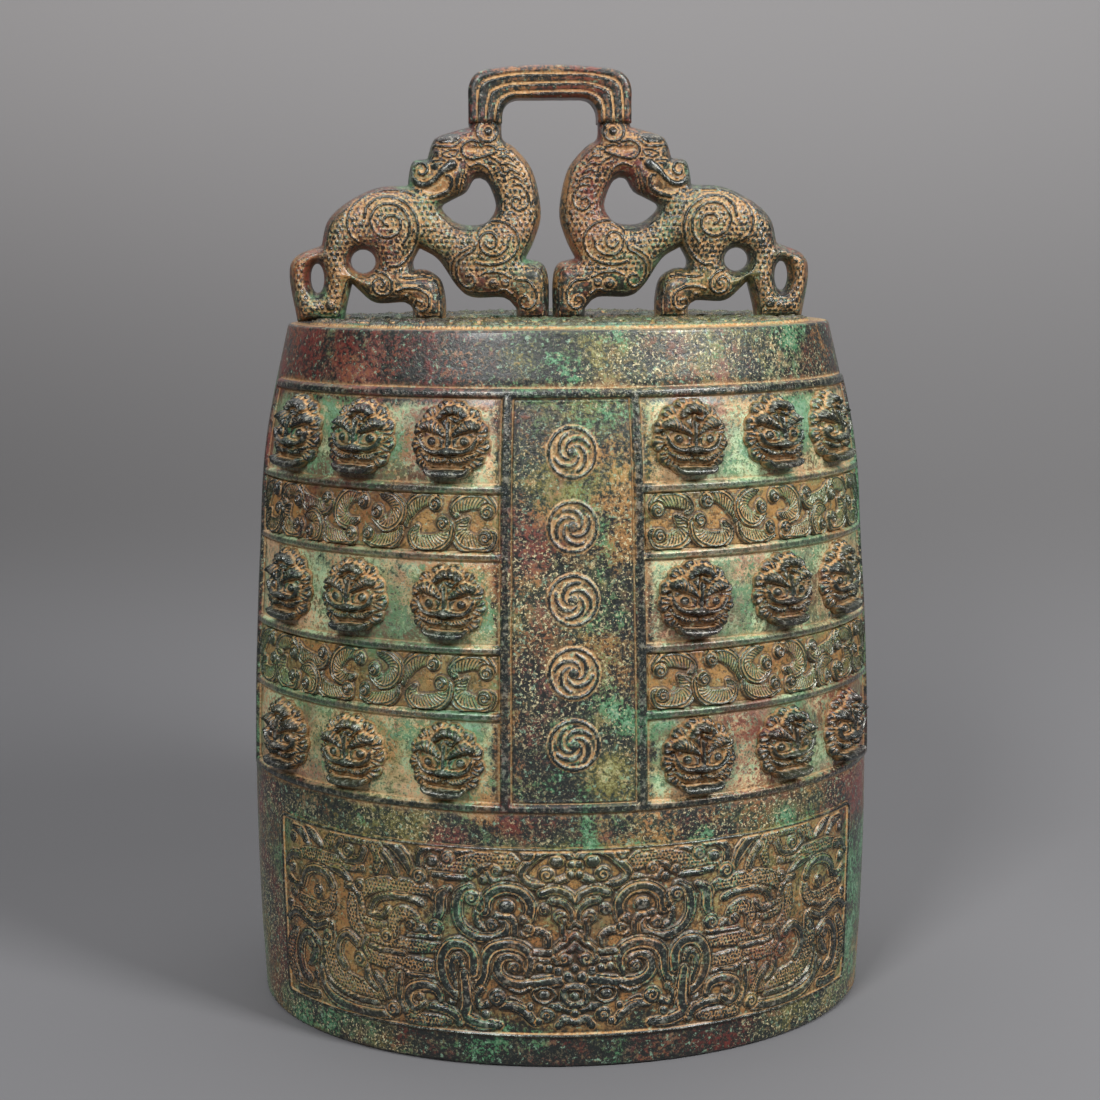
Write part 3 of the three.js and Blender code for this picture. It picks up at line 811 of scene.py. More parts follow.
def make_bosses():
    model, carved = make_mask_model()
    draw = np.random.default_rng(36)
    for face, place in FACES:
        for mirror, side in SIDES:
            for i, row in enumerate(("bottom", "middle", "top")):
                for column, share in enumerate(BOSS_PLACE_SHARES):
                    node = f"boss_{place}_{side}_{row}_{column + 1}"
                    girth = mirror * (CENTRE_RIB_GIRTH + share * (OUTER_RIB_GIRTH - CENTRE_RIB_GIRTH))
                    z = LEVELS[2 * i] + RIB_WIDTH + BOSS_ROW / 2
                    place_boss(model, carved, node, girth, z, face, draw)
    bpy.data.objects.remove(model)


MASK_TURN, MASK_SIZE, MASK_TALL = 0.03, 0.012, 0.035    # how much one mask differs from the next
MASK_BEND = 0.35


def place_boss(model, carved, node, girth, z, face, draw):
    """Copies the mask, each a little unlike the next, and lays it on the wall."""
    turn = draw.normal(0, MASK_TURN)
    size = 1 + draw.normal(0, MASK_SIZE)
    tall = 1 + draw.normal(0, MASK_TALL)
    seed = int(draw.integers(1000))
    x, y, h = carved.T
    bend_x = MASK_BEND * waver(x, y, 0 * x, 8.0, seed)
    bend_y = MASK_BEND * waver(x, y, 0 * x, 8.0, seed + 1)
    x, y = x * size + bend_x, y * size + bend_y
    x, y = x * math.cos(turn) - y * math.sin(turn), x * math.sin(turn) + y * math.cos(turn)
    h = np.where(h > 0, h * tall * (1 + 0.06 * waver(x, y, 0 * x, 6.0, seed + 2)), h)
    angle = girth / HALF_WIDTH
    reach = half_width_at(z) * math.hypot(math.cos(angle), DEPTH_SHARE * math.sin(angle)) / HALF_WIDTH
    points = on_wall(girth + x / reach, z + y, h, face)
    piece = bpy.data.objects.new(f"{node}_mask", model.data.copy())
    scene.collection.objects.link(piece)
    piece.data.name = piece.name
    move_points(piece, points)
    piece.data.update()
    finish_piece(piece, bronze["boss"], "boss", node)


# The relief panel of one face, drawn from the middle outwards: girths and heights above the mouth, each with
# one half width or its half widths along it
GRAINED_BODIES = [
    ([(27, 96), (33, 98.5), (42, 97.5), (50, 94), (58, 91.5), (66, 91.5)], [3.2, 4.6, 4.4, 4.0, 3.6, 2.6]),
    ([(63, 77), (67, 81.5), (76, 82.2), (90, 82), (100, 78.5), (105.5, 72), (103, 65.5),
      (96, 62.5), (90, 62.5)], [1.6, 2.6, 3.0, 3.0, 3.0, 2.8, 2.2, 1.2]),
    ([(62, 55), (74, 54.6), (86, 54.6), (97, 55.4)], [2.0, 2.8, 2.8, 1.8]),
    ([(61, 45.6), (74, 45.4), (88, 45.4), (100, 46.4)], [2.0, 3.4, 3.4, 3.0]),
    ([(72, 64.5), (75, 68.5), (81, 69.5), (85, 66), (85.5, 59.5)], [1.2, 2.4, 3.0, 2.6, 2.2]),
    ([(94, 88), (92.5, 95), (97, 101), (107, 102.4), (118, 100.5), (125, 95), (125.5, 90)],
     [1.8, 2.8, 3.0, 3.0, 3.0, 2.6, 1.4]),
    ([(87, 39), (87.5, 33), (93, 29), (104, 29.6), (115, 31.5), (122.5, 37), (125.5, 46), (124.5, 56)],
     [2.4, 3.0, 3.2, 4.0, 4.4, 4.4, 4.0, 2.6]),
    ([(104, 57), (108, 61), (109, 68), (108, 75)], [2.0, 2.8, 2.8, 2.2]),
    ([(121, 75), (121.5, 68), (127, 63.8), (137, 63.2), (147, 65.6)], [1.6, 2.8, 3.0, 3.0, 1.8]),
    ([(103, 87.5), (114, 88), (126, 88.4), (138, 88.6), (148, 87)], [1.6, 2.6, 2.8, 2.6, 1.8]),
    ([(153, 48), (158, 40), (158, 30), (152, 23)], [2.0, 3.2, 3.2, 2.0]),
    ([(59, 20.5), (68, 19.6), (78, 19.2)], [2.0, 2.8, 2.4]),
]
RIBBONS = [
    ([(1.5, 98), (5, 102), (11, 103.2), (16.5, 100.2), (21, 96), (24, 91.5), (20.5, 87.4),
      (14.5, 86.2)], 1.7),
    ([(1.5, 94.5), (3.2, 90.5), (7.5, 88.2)], 1.3),
    ([(27, 89), (32, 87.4), (37.4, 88.8), (38.6, 93)], 1.4),
    ([(31, 102), (42, 103), (52, 100.6), (55, 98.6)], 1.0),
    ([(59, 101.6), (65.5, 102.6), (71, 98.6), (71.4, 93)], 1.4),
    ([(75.5, 89), (78.6, 95), (84, 100.4), (91, 102.8)], [1.2, 2.4, 2.2, 0.9]),
    ([(101, 96.5), (104, 91.5), (112, 90.6), (117.5, 94.6), (115.4, 98.6)], 1.4),
    ([(128, 94), (134, 97.6), (140, 101.6)], [0.9, 1.7, 0.8]),
    ([(139, 93), (144, 97.6), (152, 99)], [0.9, 1.7, 0.8]),
    ([(1, 78.5), (3, 82.4), (9, 84.6), (14.6, 83)], 1.7),
    ([(2, 69), (1.6, 74), (5, 78.4), (10, 79.6)], 1.4),
    ([(12, 57.6), (12.4, 62.8), (17, 65.2), (23.4, 63.6)], 1.2),
    ([(20.6, 71), (19.8, 78), (24.6, 83.8), (32.6, 84.8), (39, 80.4), (40.4, 74)], 2.1),
    ([(47.4, 84), (52.4, 80.4), (53.4, 72), (50.4, 65.4), (44, 61.8), (36.4, 61.6), (30.6, 64.6),
      (29.4, 69.4), (33.2, 72)], 1.9),
    ([(43.4, 76), (44.6, 71), (42.4, 66.6), (38.4, 66)], 1.0),
    ([(56.6, 83.4), (60.8, 79.6), (61.4, 73), (63.2, 67.6)], [0.9, 2.4, 2.2, 1.4]),
    ([(70.4, 75), (76, 77), (86, 77), (94.4, 74.2), (97.4, 69)], 1.2),
    ([(88, 70), (92, 66.4), (99, 67)], 1.2),
    ([(121.6, 76), (125.4, 81), (133, 82.4), (141, 79.4), (144.4, 73.4)], 1.8),
    ([(146, 72), (151.4, 71), (156, 73)], 1.2),
    ([(147, 86.4), (153.6, 85.4), (157.4, 81)], 1.6),
    ([(110, 80.4), (116, 84), (124, 84.8)], [0.9, 1.9, 0.9]),
    ([(127, 57.4), (135, 54.6), (143, 56.2), (151, 58), (158.4, 53.6)], 1.6),
    ([(7, 58.4), (11, 55.2), (20, 54.4)], 1.2),
    ([(0.8, 65.6), (4.2, 61.8), (8.4, 57.6)], 1.2),
    ([(10.8, 51.6), (18.4, 51.8)], 1.0),
    ([(22, 25), (24.4, 29.2), (28.4, 31.6), (31.4, 30.6)], 1.5),
    ([(47.6, 79.4), (44.8, 81.4), (42.2, 79.4), (42.6, 75.6)], 1.1),
    ([(27, 63.4), (27.4, 69), (30.8, 72.2), (35.6, 71.8)], 1.1),
    ([(36, 95), (41, 94.4), (45, 91), (50, 88.9), (58, 89.2), (64, 89.6)], 1.1),
    ([(66, 60), (70.4, 63.4), (75, 61.8)], 1.3),
    ([(80, 50.6), (90, 50.2), (98, 51.4)], 1.1),
    ([(64, 41), (70, 40.4), (78, 40.8), (84, 43)], 1.2),
    ([(90, 96.4), (86.4, 92.4), (84, 87.4)], 1.5),
    ([(112, 78), (106, 76.6), (103.6, 71.4)], 1.2),
    ([(140, 60.2), (134, 59.8), (128.6, 61.6)], 1.1),
    ([(88.6, 26), (92, 33), (96.4, 37.4)], 1.4),
    ([(136.6, 30), (132.6, 25.4), (127.4, 22.4)], 1.2),
    ([(60, 26.8), (56.4, 30.4), (57.2, 35)], 1.3),
    ([(4, 42.4), (10, 42), (18, 40.4), (26, 40), (32, 42.2), (35, 46.8), (33.4, 51.6), (29.4, 53.6),
      (25, 51.6), (23.8, 48)], [1.8, 2.2, 2.4, 2.5, 2.4, 2.2, 2.0, 1.8, 1.5, 1.2]),
    ([(21.4, 44.8), (19.6, 51), (22, 56.4), (29, 58.9), (36.6, 57), (40.4, 51.6), (41.4, 45), (43.4, 39.4),
      (46.4, 34.6)], [1.2, 1.8, 2.2, 2.3, 2.3, 2.3, 2.3, 2.0, 1.4]),
    ([(46, 45), (46, 52.6), (50, 57.4), (56.4, 57.4), (60.6, 52), (61.2, 44.6), (59, 38), (54.8, 34)], 2.2),
    ([(51, 46), (52.6, 51.4), (55.8, 50), (56.4, 44.6), (54, 38)], 1.3),
    ([(50.6, 44), (49.6, 37), (49.4, 29), (50.4, 23.6), (44, 20.6), (35, 20)],
     [1.8, 2.2, 2.3, 2.4, 2.3, 1.4]),
    ([(53, 19.6), (55.6, 24), (62, 26.4), (69.6, 26.4)], [1.2, 1.9, 1.9, 1.2]),
    ([(62, 30.4), (64, 35.2), (70, 36.6), (76.8, 34), (78.8, 28.4), (75, 24.6), (70.6, 27.4)],
     [1.2, 2.1, 2.3, 2.3, 2.2, 1.9, 1.2]),
    ([(82.4, 40), (83.4, 33), (82.6, 27), (80.4, 23)], 1.4),
    ([(90, 19.8), (100, 18.6), (112, 19), (123, 21), (130, 26), (132, 35)], [2.0, 2.4, 2.4, 2.4, 2.3, 1.4]),
    ([(96, 24), (108, 24.4), (119.6, 26.6), (127.4, 31), (130, 40)], 1.0),
    ([(107, 51.4), (112.6, 54.4), (118, 50.4), (119, 43.6), (115.6, 38.4)], 1.7),
    ([(101.4, 41.4), (100.6, 35.4), (95.4, 30.6)], [0.9, 1.7, 0.8]),
    ([(33, 29.4), (27.6, 29.4), (22.4, 26.4), (18, 21.4)], [1.4, 1.7, 1.8, 1.2]),
    ([(2, 27.6), (6, 29.4), (11, 29.2)], 1.3),
    ([(134, 46), (141, 49.4), (147.4, 44.4), (149.4, 36), (147, 29), (142.4, 26.6)], 1.7),
    ([(134.6, 43.4), (137.6, 38), (142, 33.6)], [0.8, 2.2, 0.8]),
    ([(136, 20), (143, 19), (151, 19.4)], 1.6),
    ([(62, 60.2), (70, 59.6), (78, 59.6)], 0.9),
    ([(101, 55), (103, 49.6), (101, 46)], 1.3),
    ([(38.6, 31), (43, 28.4), (45, 33), (42.6, 37)], 1.2),
]
KNOBS = [
    (21.2, 101.2, 2.9, 1), (12.4, 91.6, 3.3, -1), (57.4, 97.8, 2.9, 1), (71.4, 88.0, 3.5, 1),
    (35, 93.0, 2.5, -1), (111, 94.6, 3.0, 1), (6.4, 71.6, 3.1, -1), (13.6, 75.2, 2.4, 1),
    (22.6, 70.2, 2.3, 1), (20.8, 66.2, 2.2, -1),
    (46.4, 79.8, 3.3, -1), (37.2, 67.6, 2.6, 1), (63.8, 64.6, 3.4, 1), (76.4, 64.2, 2.4, -1),
    (89.4, 57.6, 3.0, 1), (132, 71.4, 3.1, -1), (152.6, 67.4, 2.8, 1), (153.4, 78.8, 2.6, -1),
    (4.8, 52.6, 3.3, 1), (27.4, 47.8, 2.7, -1), (35.2, 33.2, 3.6, 1),
    (12.6, 25.4, 3.2, -1), (87.2, 22.6, 3.5, 1), (105.4, 43.6, 3.3, -1), (126.4, 51.4, 2.6, 1),
    (139.4, 44.8, 2.5, 1), (152, 94, 2.4, 1), (104, 79.6, 2.6, 1), (157, 60.4, 2.4, -1), (46, 91.6, 2.0, 1),
    (72.6, 30.8, 2.0, 1), (41, 88.4, 1.8, -1),
]
EYES = [(8, 97.4, 2.8), (65, 95.4, 2.5), (30.4, 76.4, 3.3), (14, 35.4, 2.3)]
# the mask's nose and brow, and the beads round its mouth
MASK_NOSE = [
    ([(0, 64), (3.6, 60.6), (7.6, 57.2), (9.8, 53.8), (8, 50.4)], 1.5),
    ([(0, 58.6), (2.6, 56.2)], 1.6),
    ([(10.8, 55.4), (18.4, 55.2)], 1.4),
    ([(4.8, 70.4), (5.2, 66), (4.8, 61.6)], 1.2),
    ([(0, 69.6), (2.2, 67.2)], 1.2),
    ([(0, 39), (3.6, 38.6), (5.4, 35.6), (4.4, 31.4), (0, 29.8)], 1.7),
    ([(0, 22), (4.6, 23.4), (7.4, 20.4)], 1.9),
    ([(20.4, 38.4), (24.6, 36.4), (29, 37.6)], 1.1),
]
MASK_BEADS = [
    (11.6, 47.4, 2.3), (15.9, 48.2, 2.1), (2.9, 43.2, 2.6), (7.6, 46.2, 2.0), (0, 47.4, 1.9),
    (1.6, 96.2, 2.0), (2, 91.4, 1.9), (0, 34.4, 2.1), (0, 26, 2.0), (20.2, 29.2, 1.7), (41, 24.8, 2.2),
    (16.4, 22, 1.8),
]
EYE_RING = [(8.8, 34.6), (11, 38.2), (15.2, 38.8), (19, 36.8), (18, 33), (13, 31.6)]
PANEL_BORDER = 163.4
BORDER_CORNER = 1.5
BEAST_HEIGHT, RIBBON_HEIGHT, KNOB_HEIGHT = 1.5, 1.75, 1.95
EYE_HEIGHT, EYE_RING_HEIGHT, NOSE_HEIGHT, BEAD_HEIGHT, BORDER_HEIGHT = 2.0, 1.7, 1.8, 1.85, 1.2
BODY_WIDTH_SHARE, RIBBON_WIDTH_SHARE, KNOB_SHARE = 1.3, 1.5, 1.15


def carve_panel():
    """Half of the relief panel: coiled beasts round a mask with a knobbed brow."""
    half = Relief(0, LOWER_PANEL_GIRTH, MOUTH_BAND, MOUTH_BAND + LOWER_PANEL, PANEL_STEP)
    for i, (points, widths) in enumerate(GRAINED_BODIES):
        wide = np.array(widths) * BODY_WIDTH_SHARE
        half.stroke(curve(points), wide, BEAST_HEIGHT, grained(seed=i), moat=0.9)
    for points, widths in RIBBONS:
        half.stroke(curve(points), np.array(widths) * RIBBON_WIDTH_SHARE, RIBBON_HEIGHT, lined(), moat=0.9)
    for x, z, radius, turn in KNOBS:
        half.volute((x, z), radius * KNOB_SHARE, KNOB_HEIGHT, start=40 * turn, turn=turn)
    for x, z, radius in EYES:
        half.stroke(np.array([(x - 0.6, z), (x + 0.6, z)]), radius, EYE_HEIGHT, domed, moat=0.9)
    half.stroke(curve(EYE_RING, closed=True), 0.7, EYE_RING_HEIGHT, soft, moat=0.5)
    for points, width in MASK_NOSE:
        half.stroke(curve(points), width, NOSE_HEIGHT, lined())
    for x, z, radius in MASK_BEADS:
        half.stroke(np.array([(x, z), (x, z + 0.2)]), radius, BEAD_HEIGHT, domed, moat=0.7)
    low, high = MOUTH_BAND + 1.4, MOUTH_BAND + LOWER_PANEL - 1.1
    turn_in = PANEL_BORDER - BORDER_CORNER
    border = [(0, high), (turn_in, high), (PANEL_BORDER, high - BORDER_CORNER),
              (PANEL_BORDER, low + BORDER_CORNER), (turn_in, low), (0, low)]
    half.stroke(np.array(border, float), 0.8, BORDER_HEIGHT, soft, moat=0.8)
    return half


def make_panels():
    half = carve_panel()
    for face, place in FACES:
        whole = Relief(-LOWER_PANEL_GIRTH, LOWER_PANEL_GIRTH, half.z[0], half.z[-1], PANEL_STEP)
        whole.H = np.hstack([half.H[:, :0:-1], half.H])
        whole.x = np.linspace(-LOWER_PANEL_GIRTH, LOWER_PANEL_GIRTH, whole.H.shape[1])
        whole.X, whole.Z = np.meshgrid(whole.x, whole.z)
        whole.age(20 + face, PANEL_WEAR)
        node = f"relief_panel_{place}"
        piece = plate(f"{node}_carving", whole, PANEL_LIFT, face)
        finish_piece(piece, bronze["panel"], "relief", node)


# The centre panel: a sunk field with a column of whorl discs

WHORL_LEVELS = (150, 182, 214, 246, 278)
WHORL_RADIUS = 10.8
WHORL_EYE = 2.4
WHORL_HEIGHT = 1.05
WHORL_ARMS = 4


def carve_centre(seed):
    """The field of the centre panel: a column of whorl discs inside a fine border."""
    reach = CENTRE_PANEL_GIRTH - PIECE_MARGIN
    low, high = LEVELS[0] + RIB_WIDTH + PIECE_MARGIN, LEVELS[-1] - PIECE_MARGIN
    field = Relief(-reach, reach, low, high, CENTRE_STEP)
    for i, z in enumerate(WHORL_LEVELS):
        turn = 1 if i % 2 else -1
        field.stroke(spiral((0, z), WHORL_RADIUS, WHORL_RADIUS, 1, 0), 0.85, WHORL_HEIGHT, domed)
        for arm in range(WHORL_ARMS):
            start = 360 // WHORL_ARMS * arm + 20 * i
            sweep = spiral((0, z), WHORL_EYE, WHORL_RADIUS - WHORL_EYE, 0.42 * turn, start)
            field.stroke(sweep, [0.6, 1.15, 1.0], WHORL_HEIGHT, domed, moat=0.4)
        field.knob((0, z), WHORL_EYE, 1.4, blunt)
        field.groove(spiral((0, z), WHORL_EYE / 2, WHORL_EYE / 2, 1, 0), 0.6, 0.4)
    edge, low, high = reach - 0.9, low + 0.9, high - 0.9
    border = [(-edge, low), (edge, low), (edge, high), (-edge, high), (-edge, low)]
    field.stroke(np.array(border, float), 0.55, 0.35, soft, moat=0.4)
    field.age(seed, CENTRE_WEAR)
    return field


def make_centre_panels():
    for face, place in FACES:
        node = f"centre_panel_{place}"
        piece = plate(f"{node}_field", carve_centre(30 + face), CENTRE_LIFT, face)
        finish_piece(piece, bronze["centre"], "relief", node)


# The crown's relief in front of and behind the handle

CURL_HEIGHT = 2.3
CURL_REACH = (1.2, 5.4)       # a curl's arm, from its inner to its outer radius
CROWN_ARC = (0.2, math.pi - 0.2)     # the sweep of the rim's line, in radians
CROWN_LIFT = 0.3
CROWN_RIM_SHARES = (0.988, 0.985)    # of the crown's half width and half depth


def lay_curl(relief, centre, turn, start):
    """One curl of the crown: a low swelling, an arm that winds outwards and a volute in the middle."""
    relief.swelling(centre, 6.2, 5.4, 1.2)
    arm = spiral(centre, *CURL_REACH, 1.2 * turn, start)
    relief.stroke(arm, [1.4, 1.8, 1.7, 0.9], CURL_HEIGHT, domed, moat=0.4, floor=0.3)
    relief.volute(centre, 2.4, 2.9, start, turn)


def lay_curls(relief, across, deep, near, draw):
    """Rows of curls, each row as long as the oval crown is wide there."""
    rows = int((deep - near - CURL_WIDTH) / CURL_ROW_PITCH) + 1
    for row in near + CURL_WIDTH / 2 + CURL_ROW_PITCH * np.arange(rows):
        reach = across * math.sqrt(1 - ((row + CURL_WIDTH / 3) / deep) ** 2) - CURL_WIDTH / 2
        count = int(2 * reach / CURL_PITCH) + 1
        for x in (np.arange(count) - (count - 1) / 2) * CURL_PITCH:
            centre = (x + draw.uniform(-0.8, 0.8), row + draw.uniform(-0.6, 0.6))
            turn = 1 if draw.random() < 0.5 else -1
            lay_curl(relief, centre, turn, draw.uniform(0, 360))


def make_crown_reliefs():
    across = half_width_at(BODY_HEIGHT) - CROWN_MARGIN
    deep = half_width_at(BODY_HEIGHT) * DEPTH_SHARE - CROWN_MARGIN
    near = DRAGON_HALF_THICKNESS + 1.4
    for face, place in FACES:
        relief = Relief(-across, across, near, deep, CROWN_STEP)
        lay_curls(relief, across, deep, near, np.random.default_rng(5 + face))
        inside = np.hypot(relief.X / across, relief.Z / deep)
        rim = np.clip((1 - inside) * deep, 0, FAR_AWAY)
        relief.H = np.where(inside < 1, relief.H * ease(rim / 1.5), 0)
        t = np.linspace(*CROWN_ARC, 160)
        wide, tall = CROWN_RIM_SHARES
        edge = np.stack([across * wide * np.cos(t), deep * tall * np.sin(t)], 1)
        relief.stroke(edge, 0.8, 1.6, soft)
        H = np.where(inside < 1, relief.H + CROWN_LIFT, -BURIED)
        bury_border(H)
        pull = np.maximum(inside, 1)
        points = np.stack([-face * relief.X / pull, -face * relief.Z / pull, BODY_HEIGHT + H], -1)
        node = f"crown_relief_{place}"
        finish_piece(closed_grid(f"{node}_curls", points, relief), bronze["crown"], "relief", node)


# The dragons: an outline in shares of the reach and the height, stretch by stretch
DRAGON_START = (0.974, 0)
DRAGON_STRETCH_SHARES = [
    [(1, 0.23), (0.974, 0.328), (0.875, 0.384)],
    [(0.849, 0.504), (0.776, 0.594), (0.662, 0.667), (0.542, 0.679)],
    [(0.537, 0.737), (0.52, 0.799), (0.466, 0.811)],
    [(0.446, 0.891), (0.416, 0.923), (0.306, 0.965)],
    [(0.306, 1)],
    [(0.183, 1)],
    [(0.179, 0.905), (0.136, 0.866), (0.066, 0.748), (0.035, 0.547), (0.058, 0.415), (0.096, 0.311)],
    [(0.03, 0.286), (0.008, 0.2), (0.008, 0)],
    [(0.133, 0)],
    [(0.132, 0.06)],
    [(0.179, 0.115), (0.3, 0.119), (0.36, 0.175), (0.43, 0.309), (0.5, 0.366)],
    [(0.526, 0.3), (0.521, 0.259)],
    [(0.477, 0.259), (0.422, 0.21), (0.403, 0.106), (0.404, 0)],
    [(0.531, 0)],
    [(0.531, 0.063)],
    [(0.56, 0.095), (0.671, 0.094), (0.734, 0.157), (0.76, 0.193)],
    [(0.783, 0.079), (0.794, 0)],
]
NECK_HOLE_SHARES = [(0.287, 0.71), (0.244, 0.7), (0.214, 0.62), (0.21, 0.555), (0.25, 0.49), (0.334, 0.483),
                    (0.385, 0.52), (0.413, 0.572), (0.368, 0.61), (0.319, 0.645)]
TAIL_HOLE = (111.6, 20.7, 3.1, 6.9)
THIGH_HOLE = (89.6, 28.6, 5.9, 5.5)
EDGE_ROUNDING = 7.5


def signed_distance(X, Z, loops):
    """Distance to an outline and its holes, negative inside."""
    away = np.full(X.shape, np.inf)
    inside = np.zeros(X.shape, bool)
    for loop in loops:
        away = np.minimum(away, follow(X, Z, np.vstack([loop, loop[:1]]))[0])
        for (x0, z0), (x1, z1) in zip(loop, np.roll(loop, -1, 0)):
            if z0 == z1:
                continue
            crossing = (Z >= min(z0, z1)) & (Z < max(z0, z1))
            inside ^= crossing & (X < x0 + (Z - z0) * (x1 - x0) / (z1 - z0))
    return np.where(inside, -away, away)


def dragon_loops():
    size = np.array([DRAGON_REACH, DRAGON_HEIGHT])
    at = np.array(DRAGON_START) * size
    outline = [at[None]]
    for row in DRAGON_STRETCH_SHARES:
        points = np.vstack([at, np.array(row) * size])
        outline.append(curve(points, 2.0)[1:])
        at = points[-1]
    holes = [curve(np.array(NECK_HOLE_SHARES) * size, 2.0, closed=True)[:-1]]
    for x, z, across, up in (TAIL_HOLE, THIGH_HOLE):
        t = np.linspace(0, 2 * math.pi, 24, endpoint=False)
        holes.append(np.stack([x + across * np.cos(t), z + up * np.sin(t)], 1))
    return [np.vstack(outline)] + holes


# The drawing on a dragon's side. Raised lines, each with its half width along it:
DRAGON_LINES = [
    # whorl, tail and sweep of the shoulder
    ([(35, 37.8), (33.5, 43.6), (28, 47), (21.5, 46.2), (16.6, 42), (15.6, 36.4), (18, 31), (23.4, 27.6),
      (30, 26.6), (36, 28)], 0.8),
    ([(31.6, 37), (29.6, 34.6), (26.6, 35.6), (26, 39.2), (29, 42), (33.2, 40.2), (34, 36), (31, 31.8),
      (25.6, 31.2), (21.2, 34.4), (20.2, 39)], 0.8),
    # arm with its curl
    ([(35.6, 37), (37, 33.6), (41.4, 31), (45, 26.6), (44.6, 20.6), (41.8, 16.8), (38.4, 16.2), (36.4, 18.8),
      (37.8, 21.8), (40.6, 21.4)], 0.8),
    ([(38.6, 34.8), (43.6, 32), (47.4, 27), (47.2, 20.4)], 0.6),
    # haunch, its whorl and the thigh
    ([(88, 49), (86.4, 54.6), (80.6, 58.4), (72.6, 58), (65.8, 53), (63, 45.6), (64.2, 37.4), (67.6, 30.8),
      (72, 26.8), (76.4, 26.4)], 0.85),
    ([(70.2, 36.6), (66.8, 43), (68.2, 50.6), (74.4, 55.4), (81.2, 54.4), (85, 49), (83.4, 43), (78.2, 39.8),
      (73, 41.4), (70.8, 45.8), (73, 49.6), (77.4, 49.8), (79, 46.8), (77, 45.2)], 0.85),
    ([(64.4, 59.4), (70, 61.6), (78, 62), (87, 59.6), (93.8, 53.8), (96, 47), (94.6, 41), (91, 37.6)], 0.75),
    # shank curl and hind paw
    ([(83.6, 24), (79, 22.6), (75.8, 19), (76.4, 14.6), (80.2, 12.6), (84, 14.4), (84.8, 18.4), (81.8, 20.6),
      (79.2, 18.6), (80.6, 16.4)], 0.8),
    ([(74, 14.6), (69.4, 16), (63.6, 15.6), (58.6, 12.4), (58.4, 7.4), (62, 4.8), (65.4, 7),
      (64.2, 10.2), (61.8, 9.4)], 0.75),
    ([(57, 20.6), (61.4, 21.4), (67.4, 20.6), (72, 21.4)], 0.65),
    # forepaw
    ([(17, 19.8), (11.4, 19), (7.8, 14.6), (7.6, 9.4), (10.6, 6), (14.4, 7), (15, 10.4),
      (12.2, 11.8), (11, 9.6)], 0.8),
    ([(19, 20.4), (23.4, 22.6), (30, 23.4), (34.4, 21.6)], 0.65),
    ([(18.6, 12.6), (22.4, 15.2), (26, 13.6)], 0.65),
    # curl on the neck
    ([(17.6, 65.6), (12.8, 62.6), (10.6, 57.8), (12, 53.4), (15.8, 52.2), (18.4, 55),
      (17, 58.2), (14.6, 57)], 0.75),
    # throat and nape
    ([(27, 66.4), (29.4, 71), (33.6, 73.8), (38.4, 72.4)], 0.6),
    ([(22, 70), (24.4, 74.6), (29, 77)], 0.6),
    ([(40.6, 71), (42.4, 65), (43.6, 59.6)], 0.5),
    # brow and eyelids
    ([(41.4, 85), (45.4, 82), (50.6, 81.8), (54.6, 82.4), (57.2, 80)], 0.8),
    ([(43.6, 79.8), (46.4, 80.4), (51.2, 78.4), (48, 76.9), (44.6, 78), (43.6, 79.8)], 0.5),
    ([(42, 76), (47, 75.4), (52, 75.6), (56.4, 75)], 0.6),
]
DRAGON_KNOBS = [(27.6, 17.6, 2.6, 1), (22, 18, 2.2, -1), (69.6, 11.6, 2.0, 1), (54, 79, 2.0, 1),
                (105, 8, 2.6, 1)]
SNOUT = [(46.6, 73.4), (51, 70.6), (54.6, 66.8), (58.6, 64.4), (63, 65), (66, 68.4), (65.4, 72.6), (62, 75),
         (58.8, 73.4), (58.4, 70.4), (60.6, 68.8), (62.4, 70)]
SNOUT_WIDTHS = [2.9, 2.2, 1.5, 1.5, 1.6, 1.7, 1.6, 1.4, 1.2, 1.0, 0.9, 0.8]
LOWER_LIP = [(51, 69), (47.8, 68.2), (46.6, 64.8), (48.4, 61.4), (52.4, 59.4), (57, 58.2)]
EAR = [(24.6, 80.2), (31, 83), (37.4, 84.4), (41.4, 82), (41, 78), (37.6, 76), (31, 77.4)]
HAIR_ROWS = 6
TOES = (4.6, 8.4, 12.2, 54, 57.8, 61.6)
SCALE_PITCH = 2.6
BORDER_AWAY = 2.6             # how far inside the outline the raised border runs
DRAWN_AREA = 3.6              # scales and paws start this far inside the outline
LINE_HEIGHT = 1.75
NAPE_DISC = (29.8, 88.8)


def carve_ground(d, away):
    """Scales inside a raised border, and plain skin on the head and the paws."""
    scales = 0.3 + 0.7 * grains(d.X, d.Z, SCALE_PITCH, 4)
    border = 0.5 + 0.6 * np.exp(-((-away - BORDER_AWAY) / 0.62) ** 2)
    head = np.hypot((d.X - 49) / 15.5, (d.Z - 72) / 15.5) < 1
    paws = (d.Z < 23.5) & (d.X < 100)
    d.H = np.where(-away > DRAWN_AREA, np.where(head | paws, 0.75, scales), border)
    d.swelling((48, 85.4), 7.6, 3.2, 1.8, base=0.4)
    d.swelling((51, 73.4), 6.4, 3.4, 1.3, base=0.6)
    d.swelling((42.6, 66), 4.2, 8.0, 0.9, base=0.6)


